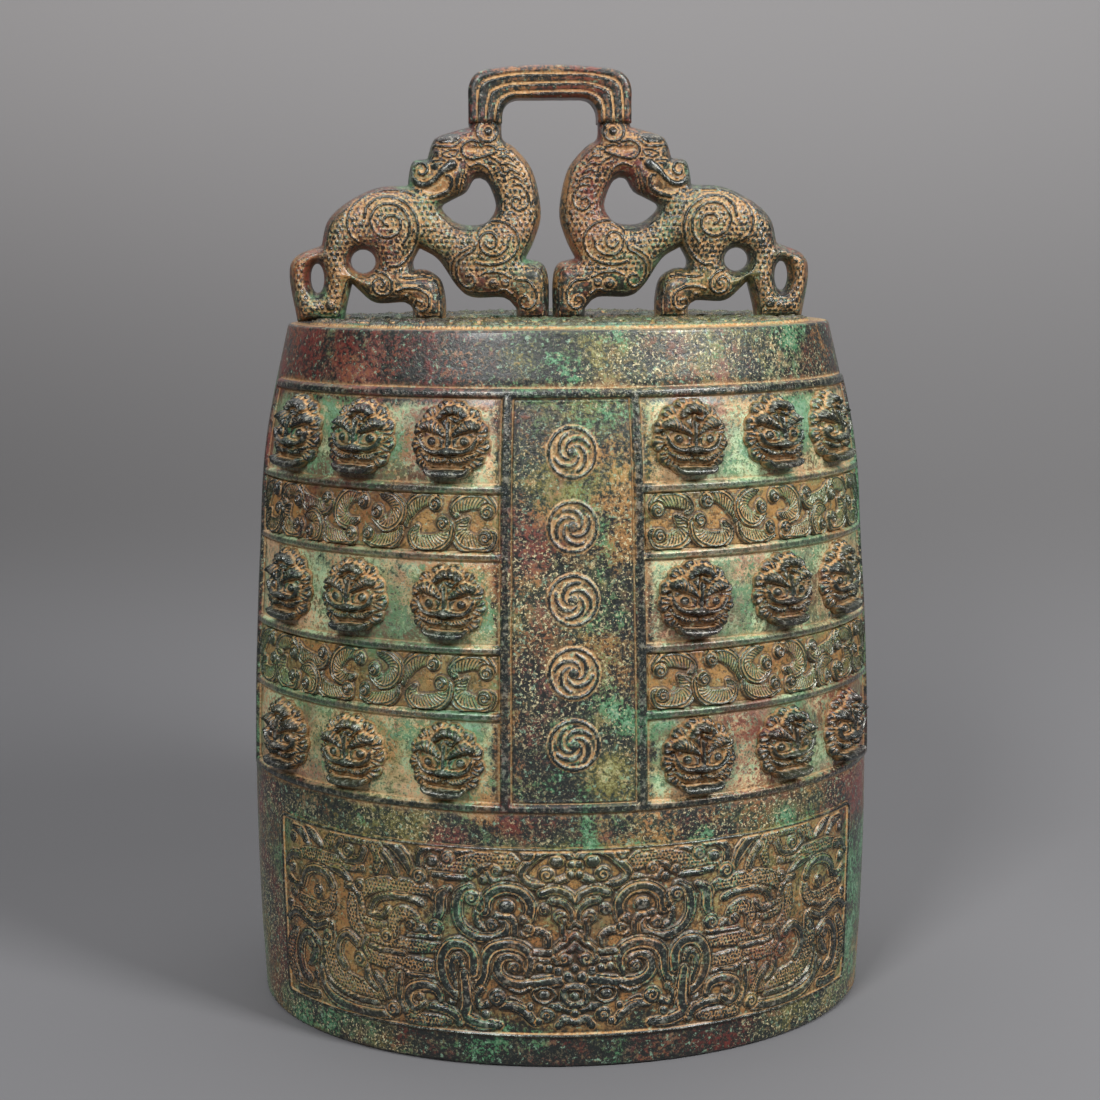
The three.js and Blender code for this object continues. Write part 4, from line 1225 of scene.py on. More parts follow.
def carve_head(d):
    """The open mouth, the lower lip, the curled snout and the disc over the nape."""
    mouth = d.share_of_oval((54.6, 63.4), 6.6, 3.6, turn=-22) < 1
    d.H = np.where(mouth, np.minimum(d.H, 0.05), d.H)
    d.stroke(curve(LOWER_LIP), [0.9, 1.0, 1.1, 1.2, 1.2, 0.8], 1.9, domed, moat=0.8)
    d.stroke(curve(SNOUT), SNOUT_WIDTHS, 2.5, domed, moat=0.8)
    d.swelling((60.6, 70.4), 1.6, 1.5, 0.4, base=0.2)
    d.knob(NAPE_DISC, 5.6, 0.8, blunt, moat=0.6)
    d.stroke(spiral(NAPE_DISC, 4.8, 4.9, 0.98, 60), 0.85, 2.0, domed, moat=0.6, floor=0.2)
    d.knob((29.4, 88.6), 2.1, 2.1, blunt, moat=0.8, floor=0.2)


def carve_hair_and_toes(d):
    """Short locks behind the ear, and grooves between the toes."""
    for i in range(HAIR_ROWS):
        x, z = 19.5 - 1.5 * i, 79.5 - 3.3 * i
        lock = curve([(x + 6.5, z + 0.4), (x + 3, z + 1.2), (x, z - 0.8)])
        d.stroke(lock, [0.5, 0.9, 0.5], 1.5, domed, moat=0.5)
    for x in TOES:
        d.groove(np.array([(x, -1.0), (x - 0.4, 4.0)]), 0.55, 0.8)


def carve_dragon():
    """The drawing on the dragon's side: scales, whorls, raised lines and the head."""
    d = Relief(-2, DRAGON_REACH + 2, -2, DRAGON_HEIGHT + 2, HANDLE_STEP)
    away = signed_distance(d.X, d.Z, dragon_loops())
    carve_ground(d, away)
    for points, width in DRAGON_LINES:
        d.stroke(curve(points), width, LINE_HEIGHT, domed, moat=0.75, floor=0.1)
    d.stroke(curve(EAR, closed=True), 0.8, 1.9, domed, moat=0.7, floor=0.1)
    d.dent((35.4, 80.2), 6.4, 2.4, 1.3, turn=4)
    for x, z, radius, turn in DRAGON_KNOBS:
        d.volute((x, z), radius, 1.8, 60, turn)
    carve_head(d)
    carve_hair_and_toes(d)
    d.age(40, DRAGON_WEAR)
    return d, away


# Where a dragon is slimmer or fuller than its plate: a middle, its reach across and up, and how much
SLIM_NECK = (12, 58, 13, 24, 1.6)
FULL_HAUNCH = (76, 45, 14, 14, 2.9)
FULL_SHOULDER = (27, 38, 11, 11, 2.3)


def half_thickness(X, Z):
    """Half thickness over the dragon: full at haunch and shoulder, slimmer at neck, tail and snout."""
    def around(x, z, across, up, amount):
        return amount * np.exp(-(((X - x) / across) ** 2 + ((Z - z) / up) ** 2))

    slim = around(*SLIM_NECK) + 2.2 * ease((X - 98) / 14)
    full = around(*FULL_HAUNCH) + around(*FULL_SHOULDER)
    snout = 2.4 * ease((X - 50) / 12) * ease((Z - 56) / 6)
    return DRAGON_HALF_THICKNESS - slim + full - snout


FIELD_LIMIT = 3.0             # distances past this are cut off in a field that is meshed


def mesh_from_field(name, field, x0, y0, z0, step):
    """Meshes where a field of distances crosses zero."""
    grid = openvdb.FloatGrid(background=FIELD_LIMIT)
    grid.copyFromArray(np.ascontiguousarray(np.clip(field, -FIELD_LIMIT, FIELD_LIMIT), np.float32))
    points, _, quads = grid.convertToPolygons(isovalue=0.0, adaptivity=0.0)
    places = points * step + np.array([x0, y0, z0])
    data = bpy.data.meshes.new(name)
    data.from_pydata((places * MM).tolist(), [], quads[:, ::-1].tolist())
    piece = bpy.data.objects.new(name, data)
    scene.collection.objects.link(piece)
    return piece, places


def rounded_slab(away, thick, y, rounding):
    """Distance to an upright slab with an outline and rounded edges."""
    across = away + rounding
    ahead = np.abs(y) - (thick - rounding)
    outside = np.hypot(np.maximum(across, 0), np.maximum(ahead, 0))
    return outside + np.minimum(np.maximum(across, ahead), 0) - rounding


DRAWING_GROUND = 0.6          # the height in a drawing that lies on the plain slab
DRAWING_START, DRAWING_RISE = 3, 5    # the drawing fades in this far from the slab's middle
FLANK_START, FLANK_RISE = 5, 4        # and so do its marks for the patina
RIM_REACH, RIM_RUB = 2.5, 0.3
LEAST_GAP = 0.02


def field_of_slab(relief, away, thick, rounding, y):
    """Distances to a slab with its drawing on both sides, over x, y and z; the drawing fades at the edges."""
    surface = (relief.H - DRAWING_GROUND) * ease(1 - away)
    layers = [rounded_slab(away.T, thick.T, value, rounding)
              - surface.T * ease((abs(value) - DRAWING_START) / DRAWING_RISE)
              for value in y]
    return np.pad(np.stack(layers, 1), 1, constant_values=FIELD_LIMIT)


def shade_handle_part(piece, places, relief, away):
    """Gives the flanks the marks of the drawing, and the edges a light rub."""
    column = np.clip(np.rint((places[:, 0] - relief.x[0]) / relief.step).astype(int), 0, len(relief.x) - 1)
    row = np.clip(np.rint((places[:, 2] - relief.z[0]) / relief.step).astype(int), 0, len(relief.z) - 1)
    flank = ease((np.abs(places[:, 1]) - FLANK_START) / FLANK_RISE)
    rim = np.clip(1 + away[row, column] / RIM_REACH, 0, 1) * (1 - flank)
    marks = {mark: values[row, column] * flank for mark, values in relief.shades().items()}
    marks["raised"] = np.maximum(marks["raised"], RIM_RUB * rim)
    shade(piece, marks)


def make_handle_part(name, relief, away, thick, rounding, foot, nodes):
    """Meshes a slab and stands it on the crown, once for each node and the sign that mirrors it."""
    step = relief.step
    reach = float(np.max(thick)) + FIELD_LIMIT
    y = np.arange(-reach, reach + step, step)
    field = field_of_slab(relief, away, thick, rounding, y)
    x0, z0 = relief.x[0] - step, relief.z[0] - step
    for mirror, node in nodes:
        piece, places = mesh_from_field(f"{node}_{name}", field, x0, y[0] - step, z0, step)
        shade_handle_part(piece, places, relief, away)
        places = places * (mirror, 1, 1) + (HANDLE_SHIFT, 0, BODY_HEIGHT + foot)
        places[:, 2] = np.maximum(places[:, 2], BODY_HEIGHT + LEAST_GAP)
        move_points(piece, places)
        if mirror < 0:
            piece.data.flip_normals()
        piece.data.update()
        select_only(piece)
        bpy.ops.object.shade_smooth()
        finish_piece(piece, bronze["handle"], "handle", node)


def make_dragons():
    relief, away = carve_dragon()
    thick = half_thickness(relief.X, relief.Z) - DRAGON_FALL * np.exp(np.minimum(away, 0) / DRAGON_FALL_REACH)
    make_handle_part("body", relief, away, thick, EDGE_ROUNDING, HANDLE_SEAT,
                     ((1, "dragon_right"), (-1, "dragon_left")))


def bow_path(start, control, end):
    """A bend from start to end that leans towards the control point."""
    t = np.linspace(0, 1, 15)[:, None]
    return (1 - t) ** 2 * np.array(start) + 2 * t * (1 - t) * np.array(control) + t ** 2 * np.array(end)


def arch_outer():
    """The outer side of the arch's right half, from its foot to the middle of the bowed bar."""
    level = ARCH_HEIGHT - ARCH_BOW
    slope = 2 * ARCH_BOW / (ARCH_HALF_WIDTH - ARCH_CORNER)
    shoulder = level - slope * ARCH_CORNER
    foot = np.array([(ARCH_HALF_WIDTH, -2.0)])
    corner = bow_path((ARCH_HALF_WIDTH, shoulder - ARCH_CORNER), (ARCH_HALF_WIDTH, shoulder),
                      (ARCH_HALF_WIDTH - ARCH_CORNER, level))
    bar = bow_path((ARCH_HALF_WIDTH - ARCH_CORNER, level), (0, ARCH_HEIGHT + ARCH_BOW),
                   (ARCH_CORNER - ARCH_HALF_WIDTH, level))
    return np.vstack([foot, corner, bar[1:8]])


def arch_opening():
    """The opening under the arch, from the left foot over to the right one."""
    inner, underside = ARCH_HALF_WIDTH - ARCH_LEG, ARCH_HEIGHT - ARCH_BAR
    under = bow_path((ARCH_INNER_CORNER - inner, underside), (-inner, underside), (-inner, 0))[::-1]
    return np.vstack([[(-inner, -2.0)], under, under[::-1] * (-1, 1), [(inner, -2.0)]])


ARCH_LINE_SHARES = (0.25, 0.53, 0.8)    # lines along the arch, from its outer side to its inner side
ARCH_LINE_DEPTH, ARCH_LINE_WIDTH = 1.1, 0.6
ARCH_LIP_HEIGHT, ARCH_LIP_WIDTH = 0.55, 0.55
ARCH_ROUNDING = 3.0
BELOW = 40.0                  # the arch's sides run on downwards, so that the lines meet its feet squarely


def carve_arch():
    """The arch's drawing: lines that follow its bend, with flats between them."""
    relief = Relief(-ARCH_HALF_WIDTH - 2, ARCH_HALF_WIDTH + 2, -3, ARCH_HEIGHT + 2, HANDLE_STEP)
    right, opening = arch_outer(), arch_opening()
    over = np.vstack([right, right[:-1][::-1] * (-1, 1)])
    outer = np.vstack([[(ARCH_HALF_WIDTH, -BELOW)], over, [(-ARCH_HALF_WIDTH, -BELOW)]])
    inner = np.vstack([opening[:1] - (0, BELOW), opening, opening[-1:] - (0, BELOW)])
    from_outer = follow(relief.X, relief.Z, outer)[0]
    from_inner = follow(relief.X, relief.Z, inner)[0]
    depth = ARCH_BAR * from_outer / (from_outer + from_inner)
    depth = depth + 0.4 * waver(relief.X, relief.Z, 0 * relief.X, 13.0, 2)
    relief.H += 0.75 + 0.12 * waver(relief.X, relief.Z, 0 * relief.X, 3.0, 9)
    for share in ARCH_LINE_SHARES:
        from_line = depth - share * ARCH_BAR
        relief.H -= ARCH_LINE_DEPTH * np.exp(-(from_line / ARCH_LINE_WIDTH) ** 2)
        relief.H += ARCH_LIP_HEIGHT * np.exp(-((from_line - 1.1) / ARCH_LIP_WIDTH) ** 2)
    return relief, signed_distance(relief.X, relief.Z, [np.vstack([opening, over])])


def make_arch():
    relief, away = carve_arch()
    thick = np.full(relief.X.shape, ARCH_HALF_THICKNESS)
    make_handle_part("bow", relief, away, thick, ARCH_ROUNDING, DRAGON_HEIGHT + HANDLE_SEAT,
                     ((1, "handle_arch"),))


# Node trees

def put(tree, kind, inputs=None, **settings):
    """Adds a node; inputs maps socket names or numbers to values or to the outputs that feed them."""
    made = tree.nodes.new(kind)
    for name, value in settings.items():
        setattr(made, name, value)
    for name, value in (inputs or {}).items():
        if isinstance(value, bpy.types.NodeSocket):
            tree.links.new(value, made.inputs[name])
        else:
            made.inputs[name].default_value = value
    return made


def calc(tree, operation, a, b=0.0, clamp=False):
    """One sum of two values."""
    return put(tree, "ShaderNodeMath", {0: a, 1: b}, operation=operation, use_clamp=clamp).outputs[0]


def step_up(tree, value, low, high, top=1.0):
    """0 under low, rising smoothly to top at high."""
    inputs = {0: value, 1: low, 2: high, 3: 0.0, 4: top}
    return put(tree, "ShaderNodeMapRange", inputs, interpolation_type="SMOOTHSTEP").outputs[0]


def tint(tree, share, under, over):
    """One colour over another."""
    return put(tree, "ShaderNodeMix", {0: share, 6: under, 7: over}, data_type="RGBA").outputs[2]


def rgba(red, green, blue):
    return (red, green, blue, 1.0)


# Patina colours, as linear light
SLATE = rgba(0.011, 0.014, 0.013)
DEEP_GREEN = rgba(0.036, 0.050, 0.028)
OLIVE = rgba(0.150, 0.125, 0.030)
ASH_GREEN = rgba(0.230, 0.300, 0.125)
ASH_PALE = rgba(0.450, 0.600, 0.350)
TAN = rgba(0.720, 0.470, 0.260)
MAUVE = rgba(0.200, 0.062, 0.050)
MALACHITE = rgba(0.060, 0.205, 0.090)
TURQUOISE = rgba(0.280, 0.450, 0.310)
BRICK = rgba(0.140, 0.020, 0.015)
EARTH = rgba(0.100, 0.052, 0.016)
OCHRE = rgba(0.400, 0.195, 0.058)
WARM_DUST = rgba(0.600, 0.430, 0.230)
PALE_SPECK = rgba(0.600, 0.520, 0.300)
# dark pits, and painted shade in the crevices of low ground
DARK_PIT_AND_SHADE = rgba(0.008, 0.009, 0.008)
WORN = rgba(0.018, 0.023, 0.022)
# a pale tone of rubbed metal that paints highlights on the crests
WORN_AND_HIGHLIGHT = rgba(0.180, 0.185, 0.155)

# Places with a tint: centre and radius in metres, then more red, more green and more light
# The light amount is partly the patina's tone and partly painted shade: darker on the left flank and its top
# band, and along the bottom rim.
TINT_AND_SHADE_PATCHES = [
    ((0.000, -0.015, 0.440), 0.090, 0.05, -0.30, -0.05),
    ((-0.115, -0.070, 0.312), 0.105, 0.13, -0.04, -0.20),
    ((0.010, -0.115, 0.315), 0.070, -0.06, 0.0, 0.02),
    ((0.090, -0.090, 0.315), 0.060, 0.0, 0.05, -0.03),
    ((-0.150, 0.000, 0.200), 0.130, 0.08, -0.03, -0.12),
    ((-0.120, -0.080, 0.275), 0.045, -0.03, 0.09, 0.04),
    ((0.045, -0.110, 0.060), 0.060, 0.03, -0.02, -0.04),
    ((0.140, -0.050, 0.120), 0.070, 0.07, 0.05, -0.04),
    ((0.000, -0.118, 0.010), 0.100, 0.0, 0.02, -0.18),
]


# The sockets of the patina's group: the amounts that each finish sets, and what the group puts out
PATINA_AMOUNTS = ("Dark", "Green", "Red", "Straw", "Earth", "Dust", "SootAndShade", "Speckle", "Wear")
PATINA_RESULTS = {"Color": "NodeSocketColor", "Roughness": "NodeSocketFloat", "Metallic": "NodeSocketFloat",
                  "Height": "NodeSocketFloat"}
PATCH_HEART_SHARE = 0.35      # within this share of its radius a patch has its whole tint
PATCH_SWING = 1.35            # how far broad patches swing about a half
PATCH_RAGGED = 0.75           # how much the grain roughens their edges


class Patina:
    """The patina's node group: the marks and noises that its layers share, and the colour painted so far."""

    def __init__(self):
        self.tree = bpy.data.node_groups.new("bronze_patina", "ShaderNodeTree")
        for name in PATINA_AMOUNTS:
            self.tree.interface.new_socket(name=name, in_out="INPUT", socket_type="NodeSocketFloat")
        for name, kind in PATINA_RESULTS.items():
            self.tree.interface.new_socket(name=name, in_out="OUTPUT", socket_type=kind)
        self.given = self.tree.nodes.new("NodeGroupInput").outputs
        self.place = put(self.tree, "ShaderNodeTexCoord").outputs["Object"]
        self.sunk, self.raised, self.level, self.field = (
            put(self.tree, "ShaderNodeAttribute", attribute_name=mark).outputs["Fac"]
            for mark in ("sunk", "raised", "level", "field"))
        self.middle = self.noise(46.0, 5.0, 0.66, 0.3, (3.1, 0.7, 1.9))
        self.fine = self.noise(380.0, 4.0, 0.68)
        self.grain = self.noise(720.0, 3.0, 0.7, 0.0, (1.3, 5.1, 0.2))
        self.ragged = self.total(self.about(self.fine, 0.5, 1.0), self.about(self.grain, 0.5, 1.0))
        self.colour = SLATE

    def noise(self, scale, detail, rough, warp=0.0, shift=None):
        """A noise over the object's places; a shift keeps it apart from the other noises."""
        place = self.place
        if shift:
            place = put(self.tree, "ShaderNodeMapping", {"Vector": place, "Location": shift}).outputs[0]
        inputs = {"Vector": place, "Scale": scale, "Detail": detail, "Roughness": rough, "Distortion": warp}
        return put(self.tree, "ShaderNodeTexNoise", inputs).outputs[0]

    def about(self, value, middle, amount):
        """How far a value lies from its middle, times an amount."""
        return calc(self.tree, "MULTIPLY", calc(self.tree, "SUBTRACT", value, middle), amount)

    def total(self, *values):
        """The sum of all the values."""
        result = values[0]
        for value in values[1:]:
            result = calc(self.tree, "ADD", result, value)
        return result

    def times(self, a, b):
        """The product, kept between 0 and 1."""
        return calc(self.tree, "MULTIPLY", a, b, True)

    def patches(self, scale, shift):
        """Broad patches with a strong swing about a half, roughened by the grain."""
        broad = self.noise(scale, 5.0, 0.62, 0.5, shift)
        return self.total(0.5, self.about(broad, 0.5, PATCH_SWING),
                          self.about(self.ragged, 0.0, PATCH_RAGGED))

    def rise(self, value, low, high, top=1.0):
        """A mask: 0 under low, rising to top at high."""
        return step_up(self.tree, value, low, high, top)

    def paint(self, share, over):
        """Lays a colour over what is painted so far."""
        self.colour = tint(self.tree, share, self.colour, over)


def place_tints(p):
    """How much redder, greener and brighter each place is, from the list of patches; the brightness is partly
    painted shade.
    """
    tints = [0.0, 0.0, 0.0]
    for centre, radius, *amounts in TINT_AND_SHADE_PATCHES:
        gap = put(p.tree, "ShaderNodeVectorMath", {0: p.place, 1: centre}, operation="DISTANCE")
        gap = gap.outputs["Value"]
        near = calc(p.tree, "SUBTRACT", 1.0, p.rise(gap, radius * PATCH_HEART_SHARE, radius))
        tints = [p.total(tint_so_far, p.about(near, 0.0, amount))
                 for tint_so_far, amount in zip(tints, amounts)]
    return tints


def paint_ground(p, redder, tone_and_painted_shade):
    """Deep green, olive and ash green over the slate with painted shade, a pale bloom, then mauve and ochre
    in patches.
    """
    ground = p.total(p.patches(16.0, (0.0, 0.0, 0.0)), p.about(p.middle, 0.5, 0.6), tone_and_painted_shade,
                     p.about(p.given["Dark"], 0.4, -0.4), p.about(p.field, 0.0, 0.20))
    p.paint(p.rise(ground, 0.30, 0.48), DEEP_GREEN)
    p.paint(p.rise(ground, 0.44, 0.60), OLIVE)
    p.paint(p.rise(ground, 0.55, 0.76, 0.9), ASH_GREEN)
    blush = tint(p.tree, p.rise(p.patches(30.0, (4.2, 5.9, 7.3)), 0.36, 0.60), ASH_PALE, TAN)
    bloom = p.total(p.about(p.field, 0.0, 0.6), p.about(p.middle, 0.5, 1.8), p.about(p.ragged, 0.0, 0.9))
    p.paint(p.rise(bloom, 0.16, 0.72, 0.92), blush)
    hue = p.total(p.patches(27.0, (7.7, 2.3, 4.1)), p.about(redder, 0.0, 0.5), p.about(p.field, 0.0, 0.07))
    p.paint(p.rise(hue, 0.56, 0.84, 0.8), MAUVE)
    straw = p.total(p.patches(19.0, (1.1, 12.3, 6.7)), p.about(p.field, 0.0, 0.10),
                    p.about(p.given["Straw"], 0.5, 0.4))
    p.paint(p.rise(straw, 0.58, 0.80, 0.75), OCHRE)


def paint_minerals(p, redder, greener):
    """Malachite with turquoise hearts, and brick red; hands back where they lie."""
    ore = p.total(p.patches(25.0, (2.2, 9.4, 6.3)), greener, p.about(p.given["Green"], 0.5, 0.3),
                  p.about(p.field, 0.0, 0.09))
    p.paint(p.rise(ore, 0.58, 0.70, 0.85), MALACHITE)
    p.paint(p.rise(ore, 0.68, 0.88, 0.9), TURQUOISE)
    rust = p.total(p.patches(21.0, (11.2, 4.4, 8.3)), redder, p.about(p.given["Red"], 0.5, 0.3))
    p.paint(p.rise(rust, 0.58, 0.88, 0.9), BRICK)
    return ore, rust


def paint_hollows(p, ore, rust):
    """Earth in the wide hollows, pale dust in the crevices, a glaze of the minerals, and soot with painted
    shade in low crevices.
    """
    settle = p.noise(34.0, 5.0, 0.65, 0.3, (5.5, 8.8, 3.3))
    hollow = p.total(p.about(p.level, 0.0, -0.8), p.about(p.ragged, 0.0, 0.4), p.about(settle, 0.5, 1.3))
    earth = p.times(p.rise(hollow, 0.15, 0.65, 0.9), p.given["Earth"])
    warm = p.rise(p.total(settle, p.ragged), 0.34, 0.56)
    p.paint(earth, tint(p.tree, warm, EARTH, OCHRE))
    crack = p.total(p.sunk, p.about(p.fine, 0.5, 0.45), p.about(settle, 0.5, 0.8))
    # Painted shade with some soot: crevices in ground that lies low among the forms are painted dark and keep
    # no dust
    foot = p.times(p.rise(p.about(p.level, 0.0, -1.0), 0.35, 0.75), p.given["SootAndShade"])
    kept = p.times(calc(p.tree, "SUBTRACT", 1.0, foot), p.given["Dust"])
    dust = p.times(p.rise(crack, 0.20, 0.60), kept)
    p.paint(dust, tint(p.tree, p.rise(p.grain, 0.40, 0.66), OCHRE, WARM_DUST))
    p.paint(p.rise(ore, 0.54, 0.80, 0.35), MALACHITE)
    p.paint(p.rise(rust, 0.52, 0.84, 0.4), BRICK)
    # painted shade and soot in the low crevices
    p.paint(p.times(p.rise(crack, 0.30, 0.70), foot), DARK_PIT_AND_SHADE)
    return dust


def paint_specks(p, tone_and_painted_shade):
    """Pale specks that gather in some places, mint ones, and dark pits everywhere."""
    flock = p.rise(p.total(p.noise(13.0, 4.0, 0.55, 0.0, (6.1, 6.6, 0.9)), tone_and_painted_shade), 0.42, 0.62)
    dots = p.rise(p.noise(760.0, 3.0, 0.75, 0.0, (0.4, 3.7, 2.8)), 0.56, 0.63)
    dots = calc(p.tree, "MULTIPLY", dots, p.total(flock, 0.12))
    p.paint(calc(p.tree, "MULTIPLY", dots, p.given["Speckle"]), PALE_SPECK)
    p.paint(p.rise(p.noise(390.0, 3.0, 0.75, 0.0, (8.4, 1.7, 5.8)), 0.59, 0.67, 0.6), TURQUOISE)
    pits = p.rise(p.noise(560.0, 3.0, 0.75, 0.0, (2.9, 7.1, 9.8)), 0.55, 0.64, 0.55)
    p.paint(pits, DARK_PIT_AND_SHADE)
    return pits


def paint_crests(p):
    """Dark metal on the rubbed crests, with painted highlights where the grain breaks it."""
    crest = calc(p.tree, "MULTIPLY", p.total(p.raised, p.rise(p.level, 0.1, 0.9, 0.25)), p.given["Wear"])
    rub = p.total(crest, p.about(p.middle, 0.5, 0.5), p.about(p.grain, 0.5, 0.5))
    worn = p.rise(rub, 0.22, 0.75, 0.85)
    # painted highlights on the crests, where the noise runs high
    p.paint(worn, tint(p.tree, p.rise(p.total(p.fine, p.ragged), 0.52, 0.80), WORN, WORN_AND_HIGHLIGHT))
    return worn


def make_patina():
    """The patina: ground colours in patches, minerals, filled hollows, specks and rubbed crests, with painted
    shade and highlights.
    """
    p = Patina()
    redder, greener, tone_and_painted_shade = place_tints(p)
    paint_ground(p, redder, tone_and_painted_shade)
    ore, rust = paint_minerals(p, redder, greener)
    dust = paint_hollows(p, ore, rust)
    pits = paint_specks(p, tone_and_painted_shade)
    worn = paint_crests(p)
    rough = p.total(0.40, p.about(worn, 0.0, -0.20), p.about(dust, 0.0, 0.35), p.about(p.fine, 0.5, 0.6))
    metal = p.total(0.05, p.about(worn, 0.0, 0.3))
    high = p.total(p.about(p.fine, 0.0, 0.9), p.about(p.grain, 0.0, 0.8), p.about(p.middle, 0.0, 1.2),
                   p.about(pits, 0.0, -0.3))
    out = p.tree.nodes.new("NodeGroupOutput")
    for name, value in zip(PATINA_RESULTS, (p.colour, rough, metal, high)):
        p.tree.links.new(value, out.inputs[name])
    return p.tree


BUMP_HEIGHT = 0.0003
SHEEN = {"Specular IOR Level": 0.6, "Coat Weight": 0.2, "Coat Roughness": 0.18}

# The finishes, each with its material's name and its amounts of the patina's nine sockets, in their order:
# dark, green, red, straw, earth, dust, soot and painted shade, speckle and wear
FINISHES = {
    "shell": ("patinated_shell", (0.70, 0.53, 0.56, 0.48, 0.5, 0.7, 0.85, 1.0, 0.85)),
    "band": ("scroll_band", (-0.2, 0.58, 0.5, 0.54, 0.9, 1.0, 0.7, 0.4, 0.95)),
    "panel": ("carved_panel", (0.50, 0.58, 0.60, 0.60, 0.8, 1.0, 0.85, 0.4, 1.15)),
    "centre": ("centre_panel", (0.56, 0.5, 0.54, 0.5, 0.6, 0.8, 0.6, 1.0, 0.8)),
    "boss": ("rubbed_boss", (0.25, 0.54, 0.58, 0.50, 0.7, 1.0, 0.2, 0.4, 0.72)),
    "handle": ("rubbed_handle", (0.80, 0.52, 0.76, 0.80, 0.7, 0.85, 0.0, 0.3, 1.3)),
    "crown": ("crown_relief", (0.1, 0.55, 0.4, 0.62, 0.9, 1.0, 0.4, 0.6, 0.5)),
}


def make_bronze(patina, name, amounts):
    """One finish of the bronze: the patina with its own amounts."""
    material = bpy.data.materials.new(name)
    material.use_nodes = True
    tree = material.node_tree
    tree.nodes.clear()
    group = put(tree, "ShaderNodeGroup", node_tree=patina)
    for socket, value in zip(PATINA_AMOUNTS, amounts):
        group.inputs[socket].default_value = value
    result = group.outputs
    bump = put(tree, "ShaderNodeBump", {"Height": result["Height"], "Distance": BUMP_HEIGHT, "Strength": 1.0})
    surface = put(tree, "ShaderNodeBsdfPrincipled", {
        "Base Color": result["Color"], "Roughness": result["Roughness"], "Metallic": result["Metallic"],
        "Normal": bump.outputs[0], **SHEEN})
    out = put(tree, "ShaderNodeOutputMaterial")
    tree.links.new(surface.outputs[0], out.inputs[0])
    return material


patina = make_patina()
bronze = {piece: make_bronze(patina, *finish) for piece, finish in FINISHES.items()}

make_shell()
make_bands()
make_bosses()
make_panels()
make_centre_panels()
make_crown_reliefs()
make_dragons()
make_arch()


# The camera, the floor, the backdrop and the lamps

CAMERA_PLACE = (-44.72, -911.02, 367.16)
CAMERA_TURN, CAMERA_TILT, CAMERA_ROLL = -2.5, 90 - 9.321, -0.331
FOCAL_SHARE = 1871 / 1100     # focal length over the picture's width
SENSOR = 36.0
SWEEP_START = 0.22            # metres behind the bell's middle
SWEEP_BEND = 0.75
SWEEP_REACH = 4.0
SWEEP_BENDS = 38
FLOOR_DROP = 0.0005           # the paper lies this far under the lip, so that the two don't share a face
# The paper's colours paint light and shade: painted shade in the low bend behind the bell, painted light up
# the backdrop, and a painted change of light from left to right
PAPER_FLOOR = rgba(0.140, 0.140, 0.147)
PAPER_SHADED_BEND = rgba(0.094, 0.092, 0.094)
PAPER_LIT_HIGH = rgba(0.276, 0.267, 0.268)
PAPER_LIT_RIGHT = rgba(0.250, 0.247, 0.248)
HORIZON = rgba(0.160, 0.158, 0.160)
ROOM = rgba(0.056, 0.056, 0.058)
# Far away the paper glows in the horizon's colour for the camera: a painted glow that no lamp gives
HORIZON_START, HORIZON_END = 1.4, 2.4    # metres from the bell, where the paper fades out


def make_camera():
    data = bpy.data.cameras.new("camera")
    data.sensor_width = SENSOR
    data.lens = SENSOR * FOCAL_SHARE
    camera = bpy.data.objects.new("camera", data)
    scene.collection.objects.link(camera)
    turn = Matrix.Identity(4)
    for angle, axis in ((CAMERA_TURN, "Z"), (CAMERA_TILT, "X"), (CAMERA_ROLL, "Z")):
        turn = turn @ Matrix.Rotation(math.radians(angle), 4, axis)
    camera.matrix_world = Matrix.Translation([value * MM for value in CAMERA_PLACE]) @ turn
    scene.camera = camera


def make_sweep():
    """A sweep of grey paper: a flat floor that turns up into a backdrop behind the bell."""
    t = np.radians(np.linspace(0, 90, SWEEP_BENDS))
    bend = np.stack([SWEEP_START + SWEEP_BEND * np.sin(t), SWEEP_BEND * (1 - np.cos(t))], 1)
    back = SWEEP_START + SWEEP_BEND
    side = np.vstack([[(-SWEEP_REACH, 0)], bend, [(back, 1.5), (back, SWEEP_REACH)]])
    sweep = add_grid(len(side), 2)
    sweep.name = sweep.data.name = "sweep"
    places = [(x, y, z - FLOOR_DROP) for y, z in side for x in (-SWEEP_REACH, SWEEP_REACH)]
    sweep.data.vertices.foreach_set("co", np.array(places, np.float32).ravel())
    bpy.ops.object.shade_smooth()
    sweep.data.materials.append(make_paper())


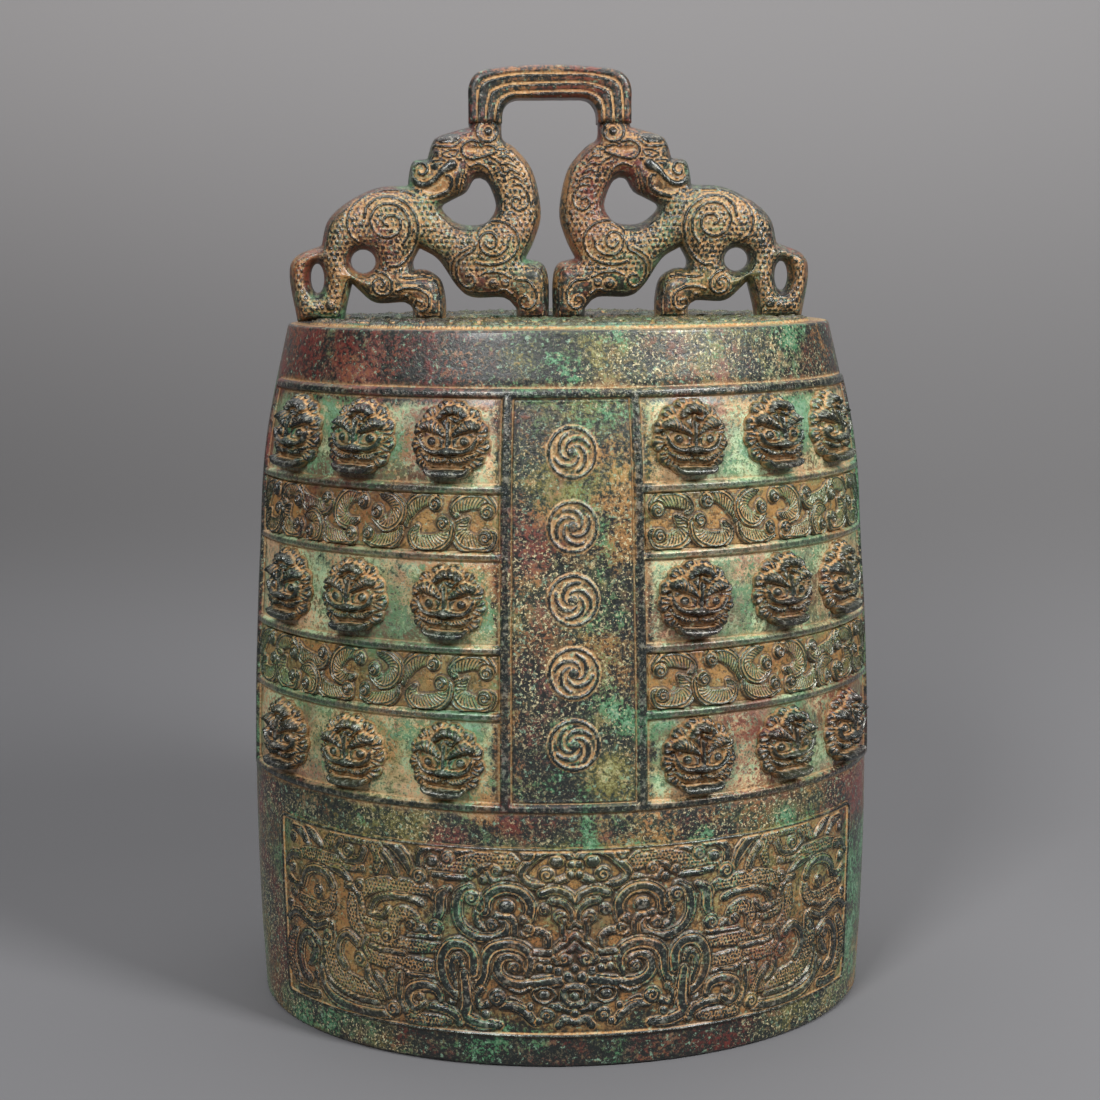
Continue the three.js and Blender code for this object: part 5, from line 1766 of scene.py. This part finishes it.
def make_paper():
    """Grey paper: painted shade where it turns up, painted light up the backdrop and from left to right,
    glowing in the horizon's colour far away, and clear from behind.
    """
    material = bpy.data.materials.new("grey_paper")
    material.use_nodes = True
    tree = material.node_tree
    tree.nodes.clear()
    place = put(tree, "ShaderNodeTexCoord").outputs["Object"]
    across, _, height = put(tree, "ShaderNodeSeparateXYZ", {0: place}).outputs
    # painted shade in the low bend, painted light up the backdrop and across to the right
    colour = tint(tree, step_up(tree, height, 0.0, 0.16), PAPER_FLOOR, PAPER_SHADED_BEND)
    colour = tint(tree, step_up(tree, height, 0.10, 0.75), colour, PAPER_LIT_HIGH)
    colour = tint(tree, step_up(tree, across, -1.0, 1.0, 0.35), colour, PAPER_LIT_RIGHT)
    matt = {"Base Color": colour, "Roughness": 0.95, "Specular IOR Level": 0.1}
    surface = put(tree, "ShaderNodeBsdfPrincipled", matt).outputs[0]
    away = put(tree, "ShaderNodeVectorMath", {0: place}, operation="LENGTH").outputs["Value"]
    far = step_up(tree, away, HORIZON_START, HORIZON_END)
    seen = calc(tree, "MULTIPLY", far, put(tree, "ShaderNodeLightPath").outputs["Is Camera Ray"])
    # a painted glow: far off, the camera sees the paper in the horizon's colour
    horizon_glow = put(tree, "ShaderNodeEmission", {"Color": HORIZON}).outputs[0]
    surface = put(tree, "ShaderNodeMixShader", {0: seen, 1: surface, 2: horizon_glow}).outputs[0]
    clear = put(tree, "ShaderNodeBsdfTransparent").outputs[0]
    behind = put(tree, "ShaderNodeNewGeometry").outputs["Backfacing"]
    mixed = put(tree, "ShaderNodeMixShader", {0: behind, 1: surface, 2: clear}).outputs[0]
    put(tree, "ShaderNodeOutputMaterial", {0: mixed})
    return material


# Area lamps: a place and a size in metres, and a power in watts
LAMPS = {
    "left_softbox": ((-0.66, -1.38, 1.30), (0.40, 0.7), 28),
    "right_softbox": ((1.12, -1.04, 1.30), (0.40, 0.8), 36),
    "top_softbox": ((0, 0.1, 1.9), (1.2, 1.0), 10),
    "rear_softbox": ((0, 0.60, 1.40), (2.4, 0.8), 7),
}
LAMP_TARGET = (0, 0, 0.22)


def make_lamp(name, place, size, power):
    """An area lamp that faces the middle of the bell."""
    data = bpy.data.lights.new(name, "AREA")
    data.shape = "RECTANGLE"
    data.size, data.size_y = size
    data.energy = power
    lamp = bpy.data.objects.new(name, data)
    scene.collection.objects.link(lamp)
    lamp.location = place
    away = lamp.location - Vector(LAMP_TARGET)
    lamp.rotation_euler = away.to_track_quat("Z", "Y").to_euler()


def make_world():
    """A dim grey room; what the camera sees of it is as pale as the paper's far end."""
    world = bpy.data.worlds.new("studio")
    scene.world = world
    world.use_nodes = True
    tree = world.node_tree
    tree.nodes.clear()
    seen = put(tree, "ShaderNodeLightPath").outputs["Is Camera Ray"]
    room = put(tree, "ShaderNodeBackground", {"Color": ROOM}).outputs[0]
    horizon = put(tree, "ShaderNodeBackground", {"Color": HORIZON}).outputs[0]
    mixed = put(tree, "ShaderNodeMixShader", {0: seen, 1: room, 2: horizon}).outputs[0]
    put(tree, "ShaderNodeOutputWorld", {0: mixed})


make_camera()
make_sweep()
make_world()
for name, (place, size, power) in LAMPS.items():
    make_lamp(name, place, size, power)

scene.view_settings.view_transform = "Standard"
